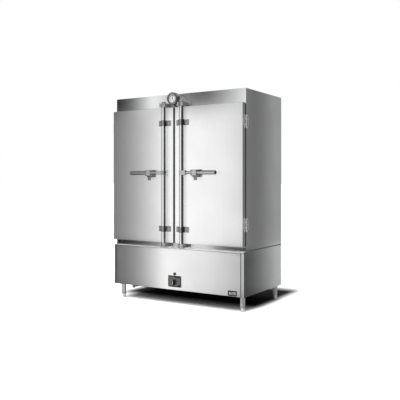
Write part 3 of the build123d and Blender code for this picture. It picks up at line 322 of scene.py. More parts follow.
brush_marks = bpy.data.node_groups.new("brush_marks", "ShaderNodeTree")
for direction, kind, socket_name in (
    ("INPUT", "Vector", "Along"), ("INPUT", "Vector", "Place"), ("INPUT", "Color", "Metal"),
    ("INPUT", "Float", "Smooth"), ("INPUT", "Float", "Rough"),
    ("OUTPUT", "Color", "Colour"), ("OUTPUT", "Float", "Roughness"), ("OUTPUT", "Float", "Height"),
):
    brush_marks.interface.new_socket(
        socket_name, in_out=direction, socket_type="NodeSocket" + kind)
tree = brush_marks
given = tree.nodes.new("NodeGroupInput").outputs
lines = node(tree, "TexNoise", {
    "Vector": given["Along"], "Scale": 1, "Detail": 6, "Roughness": 0.7}).outputs["Fac"]
haze = node(tree, "TexNoise", {
    "Vector": given["Place"], "Scale": 3.2, "Detail": 5}).outputs["Fac"]
shade = ranged(tree, lines, 0.3, 0.7, 0.96, 1.02)
veil = ranged(tree, haze, 0.35, 0.7, 1.02, 0.97)
feed(tree, tree.nodes.new("NodeGroupOutput"), {
    "Colour": dimmed(tree, given["Metal"], maths(tree, "MULTIPLY", shade, veil)),
    "Roughness": ranged(
        tree, evenly(tree, lines, haze), 0.35, 0.65, given["Smooth"], given["Rough"]),
    "Height": lines})


def steel(name, colour, smooth, rough, grain=every_way_grain, depth=0.05):
    """A steel finish: its colour, its range of roughness, and which way it is brushed."""
    material, tree, shader = new_finish(name)
    place = own_place(tree)
    stretched = node(tree, "Mapping", {"Vector": place, "Scale": grain}).outputs[0]
    marks = node(tree, "Group", node_tree=brush_marks, name="marks")
    feed(tree, marks, {
        "Along": stretched, "Place": place, "Metal": colour, "Smooth": smooth, "Rough": rough})
    raised = node(tree, "Bump", {
        "Height": marks.outputs["Height"], "Strength": depth, "Distance": brush_depth})
    feed(tree, shader, {
        "Base Color": marks.outputs["Colour"], "Roughness": marks.outputs["Roughness"],
        "Normal": raised.outputs["Normal"], "Metallic": 1})
    return material


def dress(material, *names):
    """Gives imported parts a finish."""
    for name in names:
        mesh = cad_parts[name].data
        mesh.materials.clear()
        mesh.materials.append(material)


skin_steel = steel("skin_steel", skin_colour, 0.16, 0.26, upright_grain)
roof_steel = steel("roof_steel", skin_colour, 0.2, 0.32, level_grain)
# The base's floor plate is darkened as painted shade under the cabinet.
underside_shade_sheet = steel("underside_shade_sheet", (0.30, 0.30, 0.31, 1), 0.42, 0.58)
dress(skin_steel, "back_panel", "side_panel_left", "side_panel_right", "base_casing")
dress(roof_steel, "roof_panel")
dress(underside_shade_sheet, "base_floor")

# Blind rivets hold the back sheets and the roof's side folds. Each is a low
# steel dome with a small punched middle, modelled once and copied.
rivet_radius = 3.4 * mm
rivet_rise = 1.3 * mm
rivet_middle = 1.1 * mm
rivet_recess = 0.5 * mm
rivet_pitch = 165 * mm
sheet_margin = 18 * mm
roof_margin = 40 * mm
back_low, back_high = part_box("back_panel")
casing_low, casing_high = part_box("base_casing")
roof_low, roof_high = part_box("roof_panel")
back_y = back_high.y
rivet_x = back_high.x - 14 * mm
facing_back, facing_up = (-quarter, 0, 0), (0, 0, 0)


def open_faces(piece, wanted=lambda face: True):
    """Opens a piece for editing with the faces that pass a test selected."""
    bpy.context.tool_settings.mesh_select_mode = (False, False, True)
    for part in (*piece.data.vertices, *piece.data.edges):
        part.select = False
    for face in piece.data.polygons:
        face.select = wanted(face)
    pick(piece)
    bpy.ops.object.mode_set(mode="EDIT")


def close_piece():
    """Ends editing."""
    bpy.ops.object.mode_set(mode="OBJECT")


def ease(piece, offset, segments, wanted=lambda face: True):
    """Rounds the edges of the faces that pass a test."""
    open_faces(piece, wanted)
    bpy.ops.mesh.bevel(offset=offset, segments=segments, affect="EDGES")
    close_piece()


def faces_up(face):
    """True for a face that looks straight up."""
    return face.normal.z > 0.99


def round_head(radius, rise, middle, recess, sides=20):
    """A low round head with a domed edge and a round recess, lying face up at the origin."""
    bpy.ops.mesh.primitive_cylinder_add(
        vertices=sides, radius=radius, depth=rise, location=(0, 0, rise / 2))
    head = bpy.context.object
    dome = 0.62 * rise
    ease(head, dome, 3, faces_up)
    open_faces(head, faces_up)
    bpy.ops.mesh.inset(thickness=radius - dome - middle)
    bpy.ops.mesh.extrude_region_move(TRANSFORM_OT_translate={"value": (0, 0, -recess)})
    close_piece()
    pick(head)
    bpy.ops.object.transform_apply(location=True, rotation=True, scale=True)
    bpy.ops.object.shade_smooth_by_angle(angle=math.radians(35))
    return head


def as_one(parts, name):
    """Joins parts into one piece."""
    pick(*parts)
    bpy.ops.object.transform_apply(location=True, rotation=True, scale=True)
    bpy.ops.object.join()
    return seat(bpy.context.object, name)


def repeat(pattern, places, name):
    """Copies a pattern to each place and turn, and joins the copies into one piece."""
    copies = []
    for place, turn in places:
        copy = pattern.copy()
        copy.data = pattern.data.copy()
        bpy.context.collection.objects.link(copy)
        copy.location = place
        copy.rotation_euler = turn
        copies.append(copy)
    return as_one(copies, name)


def scrap(*patterns):
    """Clears away patterns once their copies are made."""
    for pattern in patterns:
        bpy.data.objects.remove(pattern)


def put_on(piece, material, body):
    """Gives a new piece its finish, and says which body carries it."""
    piece.data.materials.clear()
    piece.data.materials.append(material)
    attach(piece, body)


def spaced(low, high, pitch):
    """Even places from end to end, near a pitch."""
    count = max(1, round((high - low) / pitch))
    return [low + (high - low) * index / count for index in range(count + 1)]


rivet = round_head(rivet_radius, rivet_rise, rivet_middle, rivet_recess, 14)
body_ends = (back_low.z + sheet_margin, back_high.z - sheet_margin)
base_ends = (casing_low.z + sheet_margin, casing_high.z - sheet_margin)
rivet_places = []
for ends in (body_ends, base_ends):
    for z in spaced(*ends, rivet_pitch):
        rivet_places += [((x, back_y, z), facing_back) for x in (-rivet_x, rivet_x)]
for z in body_ends:
    for x in spaced(-rivet_x, rivet_x, rivet_pitch)[1:-1]:
        rivet_places.append(((x, back_y, z), facing_back))
for y in spaced(roof_low.y + roof_margin, roof_high.y - roof_margin, rivet_pitch):
    rivet_places += [((x, y, roof_high.z), facing_up) for x in (-rivet_x, rivet_x)]
skin_rivets = repeat(rivet, rivet_places, "skin_rivets")
bright_steel = steel("bright_steel", grey(0.8), 0.12, 0.22)
put_on(skin_rivets, bright_steel, "cabinet")
scrap(rivet)

# The front frame: stiles, header, mullion and bottom rail folded from one sheet
# and brushed level, polished a little brighter than the skins.
frame_steel = steel("frame_steel", (0.78, 0.785, 0.79, 1), 0.15, 0.22, level_grain)
dress(frame_steel, "front_frame")

# Inside: the lining, partition, floor plates, baffles, racks and trays, in a
# duller milled sheet with pale water marks, and yellow foam behind it.
inner_colour = (0.66, 0.67, 0.67, 1)
foam_colour = (0.80, 0.70, 0.40, 1)
foam_shadow = (0.58, 0.47, 0.22, 1)
mark_tint = (0.86, 0.86, 0.82, 1)
mark_scale = 38
mark_middle, mark_edge = 0.12, 0.34
mark_share = 0.35


def stained(material, share, stain):
    """Lays a second colour over part of a steel finish."""
    tree = material.node_tree
    colour = blended(tree, share, tree.nodes["marks"].outputs["Colour"], stain)
    feed(tree, tree.nodes["Principled BSDF"], {"Base Color": colour})


inner_steel = steel("inner_steel", inner_colour, 0.28, 0.42)
tree = inner_steel.node_tree
drops = node(tree, "TexVoronoi", {"Vector": own_place(tree), "Scale": mark_scale, "Randomness": 1})
water_marks = ranged(tree, drops.outputs["Distance"], mark_edge, mark_middle, 0, mark_share)
stained(inner_steel, water_marks, mark_tint)
dress(inner_steel, "chamber_liner", "centre_partition", "chamber_floor", "steam_baffles",
      "steam_trays", "tray_rack_left", "tray_rack_right")


def speckled(name, colour, second, scale, smooth, rough, depth, rise=0.1 * mm, pattern="TexNoise"):
    """A plain material of two near colours in a fine speckle, with a matching bump."""
    material, tree, shader = new_finish(name)
    place = own_place(tree)
    grain = node(tree, pattern, {"Vector": place, "Scale": scale}).outputs
    fine = grain["Distance" if pattern == "TexVoronoi" else "Fac"]
    broad = node(tree, "TexNoise", {"Vector": place, "Scale": 9, "Detail": 4}).outputs["Fac"]
    spread = ranged(tree, evenly(tree, fine, broad), 0.3, 0.7)
    raised = node(tree, "Bump", {"Height": fine, "Strength": depth, "Distance": rise})
    feed(tree, shader, {
        "Base Color": blended(tree, spread, colour, second),
        "Roughness": ranged(tree, broad, 0.3, 0.7, smooth, rough),
        "Normal": raised.outputs["Normal"]})
    return material


foam = speckled(
    "pour_foam", foam_colour, foam_shadow, 260, 0.75, 0.95, 0.7, 0.8 * mm, "TexVoronoi")
dress(foam, "wall_insulation", "door_core_left", "door_core_right")

# The base: the ledge with its flange strips, and the lift-off front panel, in
# brushed sheet like the doors, held on its right edge by two slotted screws.
base_steel = steel("base_steel", grey(0.79), 0.14, 0.24, upright_grain)
ledge_steel = steel("ledge_steel", (0.76, 0.765, 0.77, 1), 0.14, 0.24, level_grain)
dress(base_steel, "access_panel")
dress(ledge_steel, "base_top_frame")
dress(bright_steel, "panel_screws")

# Ledge nosing: a half-round bead of satin steel that trims the ledge's front
# edge and closes its fold, with rounded ends.
ledge_low, ledge_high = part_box("base_top_frame")
nosing_radius = 3.6 * mm
nosing_length = ledge_high.x - ledge_low.x - 4 * mm
facing_right = (0, quarter, 0)


def adjust(material, socket, value):
    """Sets one value of a finish that is the same all over."""
    material.node_tree.nodes["Principled BSDF"].inputs[socket].default_value = value


nosing_steel = steel("nosing_steel", grey(0.74), 0.3, 0.42, level_grain, 0.02)
adjust(nosing_steel, "Metallic", 0.35)
bpy.ops.mesh.primitive_cylinder_add(vertices=20, radius=nosing_radius, depth=nosing_length)
ledge_nosing = bpy.context.object
ease(ledge_nosing, 1.4 * mm, 3, lambda face: abs(face.normal.z) > 0.99)
ledge_nosing.rotation_euler = facing_right
ledge_nosing.location = (0, ledge_low.y, ledge_high.z - nosing_radius)
seat(ledge_nosing, "ledge_nosing")
bpy.ops.object.shade_smooth_by_angle(angle=math.radians(40))
put_on(ledge_nosing, nosing_steel, "cabinet")

# Side seams: a flat bead of dark sealant along each side, where the body's
# casing stands on the base.
seam_height = 8 * mm
seam_rise = 1.2 * mm
seam_gap = 3 * mm
side_low, side_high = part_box("side_panel_right")
seam_size = (2 * seam_rise, side_high.y - side_low.y - 2 * seam_gap, seam_height)
seam_y = (side_low.y + side_high.y) / 2
seam_z = ledge_high.z + seam_height / 2
seam_sealant = speckled("seam_sealant", (0.05, 0.05, 0.051, 1), (0.09, 0.088, 0.085, 1),
                        300, 0.4, 0.6, 0.3, 0.3 * mm)


def block(size, place, name):
    """A plain block at its size and place, for shaping."""
    bpy.ops.mesh.primitive_cube_add(size=1, location=place)
    bpy.context.object.scale = size
    return seat(bpy.context.object, name)


seams = [block(seam_size, (side * side_high.x, seam_y, seam_z), "seam") for side in (-1, 1)]
for seam in seams:
    ease(seam, 0.9 * mm, 3)
put_on(as_one(seams, "side_seams"), seam_sealant, "cabinet")

# Rating plate: a small plate of grey etched metal with a dark edge, low on the
# right of the panel, with two plain bars and a rivet in each corner.
panel_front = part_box("access_panel")[0].y
rating_x, rating_z = 577 * mm, 161.5 * mm
rating_width, rating_height = 84 * mm, 44 * mm
rating_thickness = 0.8 * mm
rating_border = 11 * mm
face_thickness = 0.3 * mm
rule_thickness = 0.15 * mm
rule_height = 5 * mm
pin_inset = 2 * mm
facing_front = (quarter, 0, 0)
dark_print = speckled("dark_print", (0.012, 0.012, 0.013, 1), (0.022, 0.021, 0.021, 1),
                      500, 0.35, 0.5, 0.1)
adjust(dark_print, "Specular IOR Level", 0.12)
etched_grey = speckled("etched_grey", (0.42, 0.42, 0.41, 1), (0.36, 0.36, 0.35, 1),
                       320, 0.3, 0.45, 0.08)


def slab(size, thickness, place, name, edge=0.25 * mm):
    """A thin plate with eased edges, its back on a face that looks to the front."""
    x, y, z = place
    plate = block((size[0], thickness, size[1]), (x, y - thickness / 2, z), name)
    ease(plate, edge, 2, lambda face: face.normal.y < -0.99)
    return plate


def at_corners(x, y, z, half_width, half_height):
    """Four places round a middle, on a face that looks to the front."""
    return [((x + across * half_width, y, z + up * half_height), facing_front)
            for across in (-1, 1) for up in (-1, 1)]


rating_front = panel_front - rating_thickness
rating_edge = slab((rating_width, rating_height), rating_thickness,
                   (rating_x, panel_front, rating_z), "rating_edge")
put_on(rating_edge, dark_print, "cabinet")
face_size = (rating_width - 2 * rating_border, rating_height - 2 * rating_border)
rating_face = slab(face_size, face_thickness, (rating_x, rating_front, rating_z),
                   "rating_face", 0.1 * mm)
put_on(rating_face, etched_grey, "cabinet")
rating_rules = as_one([
    slab((face_size[0] * 0.6, rule_height), rule_thickness,
         (rating_x + shift, rating_front - face_thickness, rating_z + rise), "rule", 0.04 * mm)
    for shift, rise in ((-5 * mm, 4.5 * mm), (5 * mm, -4.5 * mm))], "rating_rules")
put_on(rating_rules, dark_print, "cabinet")
pin_head = round_head(1.5 * mm, 0.7 * mm, middle=0.5 * mm, recess=0.2 * mm, sides=12)
rating_pins = repeat(pin_head, at_corners(
    rating_x, rating_front, rating_z,
    rating_width / 2 - pin_inset, rating_height / 2 - pin_inset), "rating_pins")
put_on(rating_pins, bright_steel, "cabinet")
scrap(pin_head)

# Water parts in the base: a tank of milled sheet with a pale scale line, heat
# tinted hairpin elements, brass valves and a black sleeve on the drain's lever.
scale_line = 392 * mm
scale_depth = 26 * mm
scale_wander = 30 * mm
scale_share = 0.7
scale_colour = (0.80, 0.78, 0.72, 1)
heat_brown = (0.30, 0.20, 0.13, 1)
heat_blue = (0.20, 0.24, 0.34, 1)
tank_steel = steel("tank_steel", inner_colour, 0.3, 0.45)
tree = tank_steel.node_tree
place = own_place(tree)
height = node(tree, "SeparateXYZ", {0: place}).outputs["Z"]
wander = node(tree, "TexNoise", {"Vector": place, "Scale": 24}).outputs["Fac"]
line_height = maths(tree, "MULTIPLY_ADD", wander, scale_wander, height)
crust = ranged(
    tree, line_height, scale_line + scale_depth, scale_line, 0, scale_share, "SMOOTHSTEP")
stained(tank_steel, crust, scale_colour)
dress(tank_steel, "water_tank")

heater_steel = steel("heater_steel", heat_brown, 0.3, 0.5)
tree = heater_steel.node_tree
bloom = node(tree, "TexNoise", {"Vector": own_place(tree), "Scale": 14}).outputs["Fac"]
stained(heater_steel, bloom, heat_blue)
dress(heater_steel, "heating_elements")

brass = steel("plain_brass", (0.72, 0.55, 0.30, 1), 0.2, 0.4)
plated_brass = steel("plated_brass", (0.36, 0.34, 0.31, 1), 0.3, 0.5)
dress(brass, "float_valve")
dress(plated_brass, "drain_valve")
dress(inner_steel, "float_arm")
dress(bright_steel, "drain_lever")
rubber = speckled("seal_rubber", (0.028, 0.028, 0.029, 1), (0.055, 0.053, 0.05, 1),
                  240, 0.5, 0.75, 0.25, 0.3 * mm)
lever_low, lever_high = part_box("drain_lever")
lever_thickness, lever_width = 3 * mm, 14 * mm
sleeve_length = 40 * mm
sleeve_wall = 1.3 * mm
sleeve_groove = 6 * mm
sleeve_x = lever_high.x - lever_thickness / 2
sleeve_back = lever_high.y + sleeve_wall
sleeve_z = (lever_low.z + lever_high.z) / 2
drain_sleeve = block(
    (lever_thickness + 2 * sleeve_wall, sleeve_length, lever_width + 2 * sleeve_wall),
    (sleeve_x, sleeve_back - sleeve_length / 2, sleeve_z), "drain_sleeve")
ease(drain_sleeve, 1.1 * mm, 3)
open_faces(drain_sleeve)
for cut in range(1, 6):
    bpy.ops.mesh.select_all(action="SELECT")
    cut_place = (sleeve_x, sleeve_back - cut * sleeve_groove, 0)
    bpy.ops.mesh.bisect(plane_co=cut_place, plane_no=(0, 1, 0))
close_piece()
put_on(drain_sleeve, rubber, "drain_handle")

# Electrical parts: a moulded contactor with brass terminal screws, the rotary
# switch, and a nylon gland in the back where a supply would enter.
black_plastic = speckled("black_plastic", (0.014, 0.014, 0.015, 1), (0.024, 0.024, 0.025, 1),
                         900, 0.36, 0.5, 0.18, 0.15 * mm)
adjust(black_plastic, "Specular IOR Level", 0.25)
grey_plastic = speckled("grey_plastic", (0.22, 0.23, 0.23, 1), (0.17, 0.175, 0.18, 1),
                        700, 0.4, 0.55, 0.18, 0.15 * mm)
dress(grey_plastic, "contactor")
dress(black_plastic, "selector_switch", "cable_gland")
gear_low, gear_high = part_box("contactor")
pole_pitch = 50 * mm
first_pole = gear_low.x + 30 * mm + pole_pitch / 2
terminal_y, terminal_z = gear_low.y + 6 * mm, gear_high.z - 25 * mm
terminal_head = round_head(5 * mm, 2.4 * mm, middle=2 * mm, recess=1.2 * mm)
terminal_screws = repeat(terminal_head, [
    ((first_pole + pole * pole_pitch, terminal_y, terminal_z), facing_up)
    for pole in range(3)], "terminal_screws")
put_on(terminal_screws, brass, "cabinet")
scrap(terminal_head)

# Control plate: dark anodised plate with a printed border, a ring of ticks and
# numbers for the switch, bare label strips, and a screw in each corner.
plate_low, plate_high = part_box("control_plate")
plate_face = plate_low.y
plate_middle_z = (plate_low.z + plate_high.z) / 2
plate_margin = 0.5 * mm
border_width = 8 * mm
print_rise = 0.15 * mm
knob_low, knob_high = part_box("selector_knob")
knob_middle = ((knob_low.x + knob_high.x) / 2, (knob_low.z + knob_high.z) / 2)
knob_x, knob_z = knob_middle
switch_turn = math.radians(45)
tick_radius = 26.6 * mm
figure_radius = 33 * mm
figure_size = 6.5 * mm
label_thickness = 0.4 * mm
label_edge = 0.12 * mm
plate_grey = steel("plate_grey", (0.135, 0.13, 0.125, 1), 0.34, 0.46, level_grain)
adjust(plate_grey, "Metallic", 0.6)
dress(plate_grey, "control_plate")
pale_print = speckled("pale_print", (0.72, 0.72, 0.70, 1), (0.62, 0.62, 0.6, 1),
                      400, 0.4, 0.5, 0.05)
bpy.ops.mesh.primitive_plane_add(
    size=1, location=(0, plate_face - print_rise, plate_middle_z), rotation=facing_front)
plate_border = bpy.context.object
plate_border.scale = (plate_high.x - plate_low.x - 2 * plate_margin,
                      plate_high.z - plate_low.z - 2 * plate_margin, 1)
seat(plate_border, "plate_border")
open_faces(plate_border)
bpy.ops.mesh.inset(thickness=border_width)
bpy.ops.mesh.delete(type="FACE")
close_piece()
thickness = plate_border.modifiers.new("thickness", "SOLIDIFY")
thickness.thickness = print_rise
thickness.offset = -1
pick(plate_border)
bpy.ops.object.modifier_apply(modifier="thickness")
put_on(plate_border, dark_print, "cabinet")


def lettering(text, size, place):
    """Printed figures on a face that looks to the front."""
    bpy.ops.object.text_add(location=(0, 0, 0))
    words = bpy.context.object
    words.data.body = text
    words.data.size = size
    words.data.align_x = "CENTER"
    words.data.align_y = "CENTER"
    words.data.extrude = print_rise / 2
    words.data.resolution_u = 4
    pick(words)
    bpy.ops.object.convert(target="MESH")
    words = bpy.context.object
    words.rotation_euler = facing_front
    words.location = place
    return seat(words, "figures")


def on_ring(middle, radius, angle, y):
    """A spot on a ring round a middle; its angle runs clockwise from the top."""
    return middle[0] + radius * math.sin(angle), y, middle[1] + radius * math.cos(angle)


def tick(length, width, middle, radius, angle, face_y):
    """A printed tick on a ring round a middle."""
    bpy.ops.mesh.primitive_plane_add(size=1)
    mark = bpy.context.object
    mark.scale = (width, length, 1)
    mark.rotation_euler = (quarter, angle, 0)
    mark.location = on_ring(middle, radius + length / 2, angle, face_y - print_rise)
    return seat(mark, "tick")


switch_marks = []
for step in range(5):
    angle = step * switch_turn
    switch_marks.append(tick(3 * mm, 1.2 * mm, knob_middle, tick_radius, angle, plate_face))
    spot = on_ring(knob_middle, figure_radius, angle, plate_face - print_rise / 2)
    switch_marks.append(lettering(str(step), figure_size, spot))
put_on(as_one(switch_marks, "switch_marks"), pale_print, "cabinet")
for name, label_size, x, z in (
    ("top_strip", (58 * mm, 8 * mm), 31 * mm, 249 * mm),
    ("low_block", (24 * mm, 13 * mm), 50 * mm, 176 * mm),
):
    label = slab(label_size, label_thickness, (x, plate_face, z), name, label_edge)
    put_on(label, dark_print, "cabinet")
plate_head = round_head(3 * mm, 1.6 * mm, middle=1.2 * mm, recess=0.8 * mm, sides=16)
plate_screws = repeat(plate_head, at_corners(
    0, plate_face, plate_middle_z, plate_high.x - 7.5 * mm, 42 * mm), "plate_screws")
put_on(plate_screws, bright_steel, "cabinet")
scrap(plate_head)

# Switch knob: moulded black with a grip bar across it, a pale strip down the
# bar as a painted highlight, and a ring of fine ribs round the skirt.
bar_front = knob_low.y
highlight_strip_rise = 0.5 * mm
rib_count = 36
rib_radius = 24.6 * mm
rib_y = knob_high.y - 3.2 * mm
dress(black_plastic, "selector_knob")
painted_highlight_grey = speckled("painted_highlight_grey", (0.68, 0.68, 0.67, 1), (0.60, 0.60, 0.59, 1),
                     600, 0.3, 0.42, 0.1)
white_paint = speckled("white_paint", (0.80, 0.80, 0.79, 1), (0.74, 0.74, 0.72, 1),
                       320, 0.3, 0.45, 0.08)
# A pale strip down the grip bar: a painted highlight.
knob_highlight_strip = slab((3.6 * mm, 34 * mm), highlight_strip_rise, (knob_x, bar_front, knob_z),
                  "knob_highlight_strip", 0.2 * mm)
put_on(knob_highlight_strip, painted_highlight_grey, "knob")
pointer_place = (knob_x, bar_front - highlight_strip_rise, knob_z + 12 * mm)
knob_pointer = slab((2.2 * mm, 15 * mm), 0.25 * mm, pointer_place, "knob_pointer", 0.08 * mm)
put_on(knob_pointer, white_paint, "knob")
bpy.ops.mesh.primitive_cylinder_add(vertices=6, radius=0.9 * mm, depth=5 * mm)
rib = bpy.context.object
ease(rib, 0.3 * mm, 1, faces_up)
rib_turn = 2 * math.pi / rib_count
knob_ribs = repeat(rib, [
    (on_ring(knob_middle, rib_radius, index * rib_turn, rib_y), facing_front)
    for index in range(rib_count)], "knob_ribs")
put_on(knob_ribs, black_plastic, "knob")
scrap(rib)

# Pilot lamp: a moulded black bezel through the panel, which holds a domed lens
# of dark green fluted plastic, unlit.
lamp_low, lamp_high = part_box("pilot_lamp")
lamp_z = (lamp_low.z + lamp_high.z) / 2
lens_radius = 8.6 * mm
lens_depth = 3.4 * mm
flute_rise = 1.04
dress(black_plastic, "pilot_lamp")
bpy.ops.mesh.primitive_cylinder_add(
    vertices=40, radius=lens_radius, depth=lens_depth, location=(0, 0, lens_depth / 2))
lamp_lens = bpy.context.object
ease(lamp_lens, 2.4 * mm, 5, faces_up)
open_faces(lamp_lens, lambda face: abs(face.normal.z) < 0.1 and face.index % 2 == 0)
bpy.ops.mesh.inset(thickness=0.12 * mm, use_individual=True)
bpy.ops.transform.resize(
    value=(flute_rise, flute_rise, 1), orient_type="GLOBAL", center_override=(0, 0, 0))
close_piece()
lamp_lens.location = (0, lamp_low.y, lamp_z)
lamp_lens.rotation_euler = facing_front
seat(lamp_lens, "lamp_lens")
bpy.ops.object.shade_smooth_by_angle(angle=math.radians(40))
lens_green = speckled("lens_green", (0.006, 0.05, 0.018, 1), (0.008, 0.035, 0.014, 1),
                      300, 0.08, 0.16, 0.05)
adjust(lens_green, "Coat Weight", 0.6)
put_on(lamp_lens, lens_green, "cabinet")

# Dial gauge: a polished case on an elbow, with a rolled bezel, a black seal, a
# white face with printed figures, a needle and a flat glass.
gauge_low, gauge_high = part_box("gauge_case")
gauge_z = gauge_high.z - 53.5 * mm
gauge_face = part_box("gauge_dial")[0].y + 4 * mm
dial_middle = (0, gauge_z)
dial_start, dial_step = math.radians(-135), math.radians(4.5)
dial_radius = 36.5 * mm
dial_figure_radius = 25.5 * mm
dial_figure_size = 7.5 * mm


def dark_rim(material, share):
    """Painted shade on round polished parts: their edge tint dims the mirror toward the outline, so
    it looks dark.
    """
    adjust(material, "Specular Tint", grey(share))


def unmirrored(material, share):
    """Keeps most of a part's own image out of the brushed sheets behind it, as brushing does."""
    tree = material.node_tree
    path = node(tree, "LightPath").outputs
    straight = maths(
        tree, "SUBTRACT", path["Is Glossy Ray"], path["Is Transmission Ray"], use_clamp=True)
    show(tree, node(tree, "MixShader", {
        0: maths(tree, "MULTIPLY", straight, share),
        1: tree.nodes["Principled BSDF"].outputs[0],
        2: node(tree, "BsdfTransparent").outputs[0]}))


polished = steel("polished_steel", (0.70, 0.70, 0.71, 1), 0.12, 0.2, depth=0.004)
dark_rim(polished, 0.04)
unmirrored(polished, 0.85)
gauge_steel = steel("gauge_steel", (0.46, 0.46, 0.465, 1), 0.14, 0.24, depth=0.01)
dark_rim(gauge_steel, 0.3)
enamel = speckled("dial_enamel", (0.82, 0.82, 0.81, 1), (0.76, 0.76, 0.74, 1),
                  260, 0.3, 0.4, 0.04)
gauge_ink = speckled("gauge_ink", (0.01, 0.01, 0.011, 1), (0.018, 0.018, 0.018, 1),
                     500, 0.4, 0.5, 0.05)
gauge_rubber = speckled("gauge_rubber", (0.02, 0.02, 0.021, 1), (0.04, 0.039, 0.038, 1),
                        260, 0.5, 0.7, 0.2, 0.2 * mm)
for finish in (gauge_steel, enamel, gauge_ink, gauge_rubber):
    unmirrored(finish, 1.0)
dress(gauge_steel, "gauge_case")
dress(enamel, "gauge_dial")
dress(gauge_ink, "gauge_needle")
dial_marks = []
for step in range(61):
    angle = dial_start + dial_step * step
    long_mark = step % 10 == 0
    length, width = (5 * mm, 1.1 * mm) if long_mark else (2.6 * mm, 0.5 * mm)
    dial_marks.append(tick(length, width, dial_middle, dial_radius - length, angle, gauge_face))
    if long_mark:
        spot = on_ring(dial_middle, dial_figure_radius, angle, gauge_face - print_rise / 2)
        dial_marks.append(lettering(str(2 * step), dial_figure_size, spot))
put_on(as_one(dial_marks, "dial_marks"), gauge_ink, "cabinet")


def ring_piece(name, major, minor, place, turn, squash, around=64, section=12):
    """A closed ring of round section, flattened along its axis."""
    bpy.ops.mesh.primitive_torus_add(
        major_radius=major, minor_radius=minor, major_segments=around, minor_segments=section)
    ring = bpy.context.object
    ring.scale = (1, 1, squash)
    pick(ring)
    bpy.ops.object.transform_apply(location=False, rotation=False, scale=True)
    bpy.ops.object.shade_smooth()
    ring.location = place
    ring.rotation_euler = turn
    return seat(ring, name)


# The black ring laid in the bezel's groove is painted shade.
for name, major, minor, back, squash, finish, slot_name in (
    ("gauge_seal", 38.6 * mm, 1.6 * mm, 2.2 * mm, 1.1, gauge_rubber, "seal_rubber"),
    ("bezel_groove_shade", 47.6 * mm, 3.4 * mm, 0, 0.25, gauge_rubber, "seal_rubber"),
    ("bezel_bead", 43.2 * mm, 1.7 * mm, 0, 0.8, polished, "polished_steel"),
):
    ring_place = (0, gauge_low.y + back, gauge_z)
    gauge_ring = ring_piece(name, major, minor, ring_place, facing_front, squash)
    put_on(gauge_ring, finish, "cabinet")

clear_glass, tree, shader = new_finish("clear_glass")
wipes = node(tree, "TexNoise", {"Vector": own_place(tree), "Scale": 60}).outputs["Fac"]
feed(tree, shader, {
    "Base Color": (0.96, 0.98, 0.97, 1), "Transmission Weight": 1, "IOR": 1.45,
    "Roughness": ranged(tree, wipes, 0, 1, 0.01, 0.06)})
path = node(tree, "LightPath").outputs
passing = maths(tree, "MAXIMUM", path["Is Shadow Ray"], path["Is Diffuse Ray"])
show(tree, node(tree, "MixShader", {
    0: maths(tree, "MAXIMUM", passing, path["Is Glossy Ray"]),
    1: shader.outputs[0],
    2: node(tree, "BsdfTransparent").outputs[0]}))
dress(clear_glass, "gauge_glass")

# Gap strips: a strip of black rubber on each door's meeting edge, with a narrow
# lip over the door's face, as painted shade that makes the gap in the middle
# look dark. Each moves with its door.
strip_thickness = 3 * mm
strip_inset = 0.6 * mm
lip_widths = {"left": 3.6 * mm, "right": 11 * mm}
lip_rise = 1.2 * mm
both_sides = (("left", -1), ("right", 1))
for side_name, side in both_sides:
    skin_low, skin_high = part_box("door_skin_" + side_name)
    edge_x = skin_high.x if side < 0 else skin_low.x
    strip_y, strip_z = (skin_low.y + skin_high.y) / 2, (skin_low.z + skin_high.z) / 2
    strip_depth = skin_high.y - skin_low.y - 2 * strip_inset
    strip_height = skin_high.z - skin_low.z - 2 * strip_inset
    lip_width = lip_widths[side_name]
    lip_x = edge_x - side * (strip_thickness - lip_width / 2)
    lip = block((lip_width, 2 * lip_rise, strip_height), (lip_x, skin_low.y, strip_z), "lip")
    strip = block((strip_thickness, strip_depth, strip_height),
                  (edge_x - side * strip_thickness / 2, strip_y, strip_z), "strip")
    gap_shade_strip = as_one([lip, strip], "gap_shade_strip_" + side_name)
    ease(gap_shade_strip, 0.7 * mm, 2)
    put_on(gap_shade_strip, rubber, "door_" + side_name)

# Doors: folded outer pans brushed upright, a duller inner sheet with a rubber
# seal round it, and on each two saddles and a lever rest, the saddles bolted
# through with hexagon heads and washers.
rod_x = 94 * mm
saddle_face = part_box("door_skin_left")[0].y - 4 * mm
saddle_heights = (1600 * mm, 671 * mm)
saddle_bolt_x = 45 * mm
saddle_bolt_z = 13 * mm
washer_thickness = 1.1 * mm
hexagon_height = 4 * mm
door_steel = steel("door_steel", (0.80, 0.80, 0.805, 1), 0.27, 0.31, upright_grain, 0.015)
dress(door_steel, "door_skin_left", "door_skin_right")
dress(inner_steel, "door_inner_pan_left", "door_inner_pan_right")
dress(rubber, "door_gasket_left", "door_gasket_right")
fitting_steel = steel("fitting_steel", (0.27, 0.27, 0.275, 1), 0.16, 0.28, depth=0.01)
dark_rim(fitting_steel, 0.02)
unmirrored(fitting_steel, 0.93)
dress(fitting_steel, "door_brackets_left", "door_brackets_right")
tongue_steel = steel("tongue_steel", (0.20, 0.20, 0.205, 1), 0.2, 0.32, depth=0.01)
unmirrored(tongue_steel, 0.93)
dress(tongue_steel, "catch_tongue_left", "catch_tongue_right")
bpy.ops.mesh.primitive_cylinder_add(
    vertices=6, radius=6.2 * mm, depth=hexagon_height, location=(0, 0, 3 * mm))
hexagon = bpy.context.object
open_faces(hexagon, faces_up)
bpy.ops.mesh.inset(thickness=0.9 * mm)
bpy.ops.transform.translate(value=(0, 0, 0.7 * mm))
close_piece()
bpy.ops.mesh.primitive_cylinder_add(
    vertices=24, radius=7.4 * mm, depth=washer_thickness, location=(0, 0, washer_thickness / 2))
washer = bpy.context.object
ease(washer, 0.35 * mm, 2, faces_up)
bolt = as_one([washer, hexagon], "bolt")
